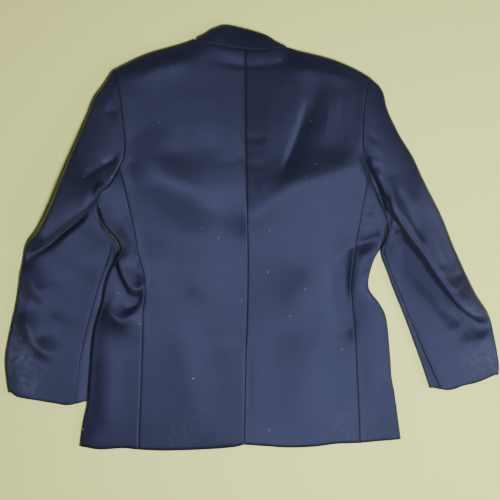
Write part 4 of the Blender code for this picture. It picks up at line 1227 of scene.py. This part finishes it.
class BlazerCloth(PropertyGroup):
    fineness: IntProperty(name="Fineness", description="Cuts of each of the solids' steps", default=7, min=2,
                          max=9)
    wool_colour: FloatVectorProperty(name="Wool", description="Colour of the navy worsted", subtype="COLOR",
                                     default=(0.0080, 0.0084, 0.0178), min=0, max=1)
    shade_colour: FloatVectorProperty(name="Wool, deeper", description="Colour of its darker cloudy places",
                                      subtype="COLOR", default=(0.0062, 0.0066, 0.0140), min=0, max=1)
    nap_colour: FloatVectorProperty(name="Nap", description="Colour of the fibre ends that stand up",
                                    subtype="COLOR", default=(0.018, 0.020, 0.038), min=0, max=1)
    # the dust colour and amount below are partly a painted sheen of worn cloth and partly dust
    dust_and_sheen_colour: FloatVectorProperty(name="Dust", description="Colour of dust on the rubbed places",
                                     subtype="COLOR", default=(0.16, 0.17, 0.22), min=0, max=1)
    dust_and_sheen: FloatProperty(name="Dust amount", description="How far dust covers the rubbed places", default=0.26,
                        min=0, max=1, subtype="FACTOR")
    twill_pitch: FloatProperty(name="Twill pitch", description="From one slanting ridge to the next",
                               default=0.0011, min=0.0002, max=0.01, subtype="DISTANCE", unit="LENGTH")
    yarn_variation: FloatProperty(name="Yarn variation", description="How unevenly the yarns are dyed",
                                  default=0.45, min=0, max=1, subtype="FACTOR")
    sheen: FloatProperty(name="Sheen", description="Strength of the cloth's soft sheen", default=0.08, min=0,
                         max=1, subtype="FACTOR")


class BlazerSewing(PropertyGroup):
    thread_colour: FloatVectorProperty(name="Thread", description="Colour of the sewing thread",
                                       subtype="COLOR", default=(0.018, 0.021, 0.042), min=0, max=1)
    horn_colour: FloatVectorProperty(name="Horn", description="Colour of the buttons", subtype="COLOR",
                                     default=(0.018, 0.015, 0.014), min=0, max=1)
    stitch_pitch: FloatProperty(name="Stitch pitch", description="From one seam stitch to the next",
                                default=0.0026, min=0.001, max=0.02, subtype="DISTANCE", unit="LENGTH")
    stitch_length: FloatProperty(name="Stitch reach", description="Length of thread that shows in the seam",
                                 default=0.0019, min=0.0005, max=0.01, subtype="DISTANCE", unit="LENGTH")
    thread_width: FloatProperty(name="Thread width", description="Thickness of the thread", default=0.00045,
                                min=0.0001, max=0.002, subtype="DISTANCE", unit="LENGTH")
    lint_count: IntProperty(name="Lint", description="Loose fibres on the upper face", default=30, min=0,
                            max=2000)


class BlazerStage(PropertyGroup):
    floor_colour: FloatVectorProperty(name="Floor", description="Colour of the plain pale floor",
                                      subtype="COLOR", default=(0.69, 0.73, 0.225), min=0, max=1)
    camera_height: FloatProperty(name="Camera height", description="Height of the camera over the floor",
                                 default=2.4, min=1, max=10, subtype="DISTANCE", unit="LENGTH")
    key_power: FloatProperty(name="Key light", description="Power of the broad soft light", default=31.0,
                             min=0, max=1000, subtype="POWER", unit="POWER")
    window_power: FloatProperty(name="Window light", description="Power of the light overhead", default=60.0,
                                min=0, max=1000, subtype="POWER", unit="POWER")
    fill_power: FloatProperty(name="Fill light", description="Power of the weak light opposite", default=1.5,
                              min=0, max=1000, subtype="POWER", unit="POWER")
    sky: FloatProperty(name="Room light", description="Strength of the even light from all round",
                       default=0.07, min=0, max=5)


class BLAZER_OT_body(Operator):
    """Backs, fronts and side panels"""
    bl_idname = "blazer.body"
    bl_label = "Body panels"

    def execute(self, context):
        add_panels(both("back", "front", "side"))
        return {"FINISHED"}


class BLAZER_OT_sleeves(Operator):
    """Upper and under sleeves"""
    bl_idname = "blazer.sleeves"
    bl_label = "Sleeves"

    def execute(self, context):
        add_panels(both("top_sleeve", "under_sleeve"))
        return {"FINISHED"}


class BLAZER_OT_collar(Operator):
    """Collar, its leaves and lapels on the floor, and the turned strip under the vent"""
    bl_idname = "blazer.collar"
    bl_label = "Collar, lapels and vent"

    def execute(self, context):
        add_panels(["collar", "vent_underlap"] + both("lapel", "collar_leaf"))
        return {"FINISHED"}


def button_parts(up):
    """Points and faces of one button: dished face, bevelled rim and four sewing holes."""
    x, y = np.array([button_across(), up]) - ORIGIN[:2]
    work = bmesh.new()

    def ring(middle, radius, sides, level):
        return [work.verts.new(((middle[0] + radius * math.cos(2 * math.pi * k / sides)) * MM,
                                (middle[1] + radius * math.sin(2 * math.pi * k / sides)) * MM,
                                BUTTON_THICK * level * MM)) for k in range(sides)]

    loops = [ring((x, y), BUTTON_RADIUS * radius, BUTTON_SIDES, level) for radius, level in BUTTON_RINGS]
    for low, high in zip(loops[:-1], loops[1:]):
        for k in range(BUTTON_SIDES):
            n = (k + 1) % BUTTON_SIDES
            work.faces.new((low[k], low[n], high[n], high[k]))
    out = HOLE_PLACE * BUTTON_RADIUS
    holes = [(x + out * i, y + out * j) for i in (-1, 1) for j in (-1, 1)]
    walls = [[ring(hole, HOLE_RADIUS * BUTTON_RADIUS, HOLE_SIDES, level) for hole in holes]
             for level in HOLE_LEVELS]
    for loop, inner in ((loops[0], walls[0]), (loops[-1], walls[1])):
        edges = [work.edges.get((loop[k], loop[(k + 1) % BUTTON_SIDES])) for k in range(BUTTON_SIDES)]
        for hole in inner:
            edges += [work.edges.new((hole[k], hole[(k + 1) % HOLE_SIDES])) for k in range(HOLE_SIDES)]
        bmesh.ops.triangle_fill(work, use_beauty=True, edges=edges)
    for low, high in zip(*walls):
        for k in range(HOLE_SIDES):
            n = (k + 1) % HOLE_SIDES
            work.faces.new((low[k], high[k], high[n], low[n]))
    bmesh.ops.recalc_face_normals(work, faces=work.faces)
    return work


class BLAZER_OT_buttons(Operator):
    """Horn buttons under the right front"""
    bl_idname = "blazer.buttons"
    bl_label = "Buttons"

    def execute(self, context):
        for k, up in enumerate(BUTTON_UP):
            node = "front_button_%d" % (k + 1)
            work = button_parts(up)
            mesh = bpy.data.meshes.new(node + "_horn")
            work.to_mesh(mesh)
            work.free()
            mesh.materials.append(horn_material())
            piece = link(node + "_horn", mesh)
            soften(mesh)
            mesh.set_sharp_from_angle(angle=BUTTON_SHARP)
            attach(piece, ROOT)
            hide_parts(node)
        return {"FINISHED"}


def input_id(tree, name):
    return next(item.identifier for item in tree.interface.items_tree
                if item.item_type == "SOCKET" and item.in_out == "INPUT" and item.name == name)


def geometry_tree(name, sizes):
    """An empty geometry tree with a geometry socket each way and named float inputs."""
    tree = bpy.data.node_groups.new(name, "GeometryNodeTree")
    socket(tree, "Geometry", "NodeSocketGeometry")
    socket(tree, "Geometry", "NodeSocketGeometry", "OUTPUT")
    for key, value in sizes:
        socket(tree, key, "NodeSocketFloat", "INPUT", value)
    nodes = Nodes(tree)
    return tree, nodes, nodes.add("NodeGroupInput"), nodes.add("NodeGroupOutput")


def random_value(nodes, low, high, seed):
    node = nodes.add("FunctionNodeRandomValue", {"data_type": "FLOAT"})
    node.inputs[2].default_value, node.inputs[3].default_value = low, high
    node.inputs["Seed"].default_value = seed
    return node.outputs[1]


def scatter(nodes, out, points, piece, rotation, spin, skin, **more):
    """Copies of a piece at points, each turned by its own spin, made real and given a material."""
    euler = nodes.add("FunctionNodeEulerToRotation", None, Euler=spin)
    turned = nodes.add("FunctionNodeRotateRotation", {"rotation_space": "LOCAL"}, Rotation=rotation,
                       Rotate_By=euler.outputs[0])
    placed = nodes.add("GeometryNodeInstanceOnPoints", None, Points=points, Instance=piece,
                       Rotation=turned.outputs[0], **more)
    real = nodes.add("GeometryNodeRealizeInstances", None, Geometry=placed.outputs[0])
    skinned = nodes.add("GeometryNodeSetMaterial", None, Geometry=real.outputs[0], Material=skin)
    nodes.put(out, "Geometry", skinned.outputs[0])


def stitch_tree(skin):
    """A thread bar lying across the seam at every pitch along each seam path."""
    tree, nodes, given, out = geometry_tree("seam_stitches", (
        ("Pitch", 0.0026), ("Reach", 0.0019), ("Thread", 0.00045)))
    points = nodes.add("GeometryNodeCurveToPoints", {"mode": "LENGTH"}, Curve=given.outputs["Geometry"],
                       Length=given.outputs["Pitch"])
    bar = nodes.add("GeometryNodeMeshCylinder", {"fill_type": "TRIANGLE_FAN"}, Vertices=6, Side_Segments=3,
                    Radius=nodes.math("MULTIPLY", given.outputs["Thread"], 0.5),
                    Depth=given.outputs["Reach"])
    bent = nodes.add("GeometryNodeSetPosition", None, Geometry=bar.outputs["Mesh"])
    place = nodes.add("GeometryNodeInputPosition").outputs[0]
    xyz = nodes.add("ShaderNodeSeparateXYZ", None, Vector=place)
    share = nodes.math("DIVIDE", xyz.outputs[2], given.outputs["Reach"])
    dip = nodes.math("MULTIPLY", nodes.math("MULTIPLY", share, share), STITCH_BEND)
    nodes.put(bent, "Offset", nodes.xyz(x=dip))
    turn = nodes.add("FunctionNodeAxesToRotation", {"primary_axis": "Y", "secondary_axis": "X"})
    nodes.put(turn, "Primary Axis", points.outputs["Tangent"])
    nodes.put(turn, "Secondary Axis", nodes.xyz(z=1.0))
    wobble = random_value(nodes, -STITCH_WOBBLE, STITCH_WOBBLE, 7)
    scatter(nodes, out, points.outputs["Points"], bent.outputs[0], turn.outputs[0], nodes.xyz(x=wobble), skin)
    return tree


def lint_tree(skin):
    """Short bent fibres scattered over an upward surface."""
    tree, nodes, given, out = geometry_tree("lint_fibres", (
        ("Density", 100.0), ("Length", 0.004), ("Width", 0.0003)))
    spread = nodes.add("GeometryNodeDistributePointsOnFaces", {"distribute_method": "RANDOM"},
                       Mesh=given.outputs["Geometry"], Density=given.outputs["Density"], Seed=17)
    half = nodes.math("MULTIPLY", given.outputs["Length"], 0.5)
    ends = [nodes.xyz(nodes.math("MULTIPLY", half, a), nodes.math("MULTIPLY", half, b), LINT_LIFT)
            for a, b in LINT_BEND]
    curve = nodes.add("GeometryNodeCurveQuadraticBezier", None, Resolution=6, Start=ends[0], Middle=ends[1],
                      End=ends[2])
    ring = nodes.add("GeometryNodeCurvePrimitiveCircle", None, Resolution=4,
                     Radius=nodes.math("MULTIPLY", given.outputs["Width"], 0.5))
    tube = nodes.add("GeometryNodeCurveToMesh", None, Curve=curve.outputs[0], Fill_Caps=True)
    nodes.put(tube, "Profile Curve", ring.outputs[0])
    size = random_value(nodes, *LINT_SIZES, 5)
    angle = random_value(nodes, 0.0, TURN, 9)
    scatter(nodes, out, spread.outputs["Points"], tube.outputs[0], spread.outputs["Rotation"],
            nodes.xyz(z=angle), skin, Scale=size)
    return tree


def grown(source, tree, values, name):
    """The plain mesh that a geometry tree makes of an object, which is then removed."""
    maker = source.modifiers.new("grow", "NODES")
    maker.node_group = tree
    for key, value in values.items():
        maker[input_id(tree, key)] = value
    made = bpy.data.meshes.new_from_object(source.evaluated_get(bpy.context.evaluated_depsgraph_get()))
    source.modifiers.remove(maker)
    bpy.data.objects.remove(source, do_unlink=True)
    made.name = name
    soften(made)
    return link(name, made)


def seam_paths(k):
    """The seams that show from above, each a run of points in the groove between two panels."""
    lines = {"centre": spline(CENTRE, 12)}
    for name in LINES:
        half = Half(name, k)
        lines["side_" + name] = half.side_seam
        lines["scye_" + name] = half.armhole
        rows, whole = half.sleeve_rows, spline(LINES[name]["hind_seam"])
        lines["hind_" + name] = pinned(whole, rows, half.armhole[half.hind], whole[-1])
    return lines


class BLAZER_OT_sewing(Operator):
    """Stitches in the seams"""
    bl_idname = "blazer.sewing"
    bl_label = "Seam stitches"

    def execute(self, context):
        look = context.scene.blazer_sewing
        skin = thread_material()
        curve = bpy.data.curves.new("seam_paths", "CURVE")
        curve.dimensions = "3D"
        for line in seam_paths(STITCH_HALVING).values():
            points = (top_place(line) - ORIGIN + (0, 0, STITCH_SINK)) * MM
            path = curve.splines.new("POLY")
            path.points.add(len(points) - 1)
            path.points.foreach_set("co", np.column_stack([points, np.ones(len(points))]).ravel())
        sizes = {"Pitch": look.stitch_pitch, "Reach": look.stitch_length, "Thread": look.thread_width}
        piece = grown(link("seam_paths", curve), stitch_tree(skin), sizes, "seam_stitches")
        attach(piece, ROOT)
        return {"FINISHED"}


class BLAZER_OT_lint(Operator):
    """Loose fibres on the upper face"""
    bl_idname = "blazer.lint"
    bl_label = "Lint"

    def execute(self, context):
        look = context.scene.blazer_sewing
        pieces = coat(context.scene.blazer_cloth.fineness)
        tops = []
        for node in both("back", "side", "top_sleeve"):
            sheet = pieces.sheets[node]
            up = face_vectors(sheet.points, sheet.faces)
            up = up[:, 2] > UPWARD * np.linalg.norm(up, axis=1)
            tops.append(((sheet.points - ORIGIN) * MM, sheet.faces[up]))
        points = np.vstack([p for p, _f in tops])
        start = np.cumsum([0] + [len(p) for p, _f in tops])
        faces = np.vstack([f + n for (_p, f), n in zip(tops, start)])
        mesh = bpy.data.meshes.new("lint_ground")
        mesh.from_pydata(points.tolist(), [], faces.tolist())
        area = np.linalg.norm(face_vectors(points, faces), axis=1).sum()
        piece = grown(link("lint_ground", mesh), lint_tree(lint_material()),
                      {"Density": look.lint_count / area}, "lint")
        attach(piece, ROOT)
        return {"FINISHED"}


def lamp(name, place, target, size, power, colour):
    light = bpy.data.lights.new(name, "AREA")
    light.shape, light.size, light.energy, light.color = "DISK", size, power, colour
    made = link(name, light)
    made.location = place
    made.rotation_euler = (Vector(target) - Vector(place)).to_track_quat("-Z", "Y").to_euler()


class BLAZER_OT_stage(Operator):
    """Pale floor, soft light and the camera straight above"""
    bl_idname = "blazer.stage"
    bl_label = "Stage"

    def execute(self, context):
        look = context.scene.blazer_stage
        mesh = bpy.data.meshes.new("floor")
        corners = [(FLOOR_REACH * x, FLOOR_REACH * y, FLOOR_DROP)
                   for x, y in ((-1, -1), (1, -1), (1, 1), (-1, 1))]
        mesh.from_pydata(corners, [], [(0, 1, 2, 3)])
        skin, nodes, shader = plain_material("pale_floor")
        patches = nodes.noise(nodes.place(), 3.0)
        nodes.put(shader, "Base Color", nodes.mix(patches, rgba(look.floor_colour, 0.97),
                                                  rgba(look.floor_colour)))
        shader.inputs["Roughness"].default_value = 0.9
        mesh.materials.append(skin)
        link("floor", mesh)
        for name, power, place, target, size, colour in LAMPS:
            lamp(name, place, target, size, getattr(look, power), colour)
        world = bpy.data.worlds.new("room")
        world.use_nodes = True
        sky = world.node_tree.nodes["Background"]
        sky.inputs["Color"].default_value = (0.96, 0.97, 1.0, 1)
        sky.inputs["Strength"].default_value = look.sky
        context.scene.world = world
        eye = bpy.data.cameras.new("camera")
        eye.sensor_width = SENSOR
        eye.lens = eye.sensor_width * (look.camera_height - VIEW_LEVEL) / VIEW_WIDTH
        camera = link("camera", eye)
        x, y = (np.array(VIEW_MIDDLE) - ORIGIN[:2]) * MM
        camera.location = (x, y, look.camera_height)
        context.scene.camera = camera
        return {"FINISHED"}


OPERATORS = (BLAZER_OT_stage, BLAZER_OT_body, BLAZER_OT_sleeves, BLAZER_OT_collar, BLAZER_OT_buttons,
             BLAZER_OT_sewing, BLAZER_OT_lint)


class BLAZER_PT_panel(Panel):
    bl_label = "Blazer"
    bl_idname = "BLAZER_PT_panel"
    bl_space_type = "VIEW_3D"
    bl_region_type = "UI"
    bl_category = "Blazer"

    def draw(self, context):
        for group in (context.scene.blazer_cloth, context.scene.blazer_sewing, context.scene.blazer_stage):
            box = self.layout.box()
            for key in group.bl_rna.properties.keys():
                if key not in ("rna_type", "name"):
                    box.prop(group, key)
        for operator in OPERATORS:
            self.layout.operator(operator.bl_idname)


GROUPS = (("blazer_cloth", BlazerCloth), ("blazer_sewing", BlazerSewing), ("blazer_stage", BlazerStage))


def register():
    for name, group in GROUPS:
        bpy.utils.register_class(group)
        setattr(bpy.types.Scene, name, PointerProperty(type=group))
    for made in OPERATORS + (BLAZER_PT_panel,):
        bpy.utils.register_class(made)


def unregister():
    for made in reversed(OPERATORS + (BLAZER_PT_panel,)):
        bpy.utils.unregister_class(made)
    for name, group in reversed(GROUPS):
        delattr(bpy.types.Scene, name)
        bpy.utils.unregister_class(group)


def main():
    register()
    for operator in OPERATORS:
        family, name = operator.bl_idname.split(".")
        getattr(getattr(bpy.ops, family), name)()


if __name__ == "__main__":
    main()
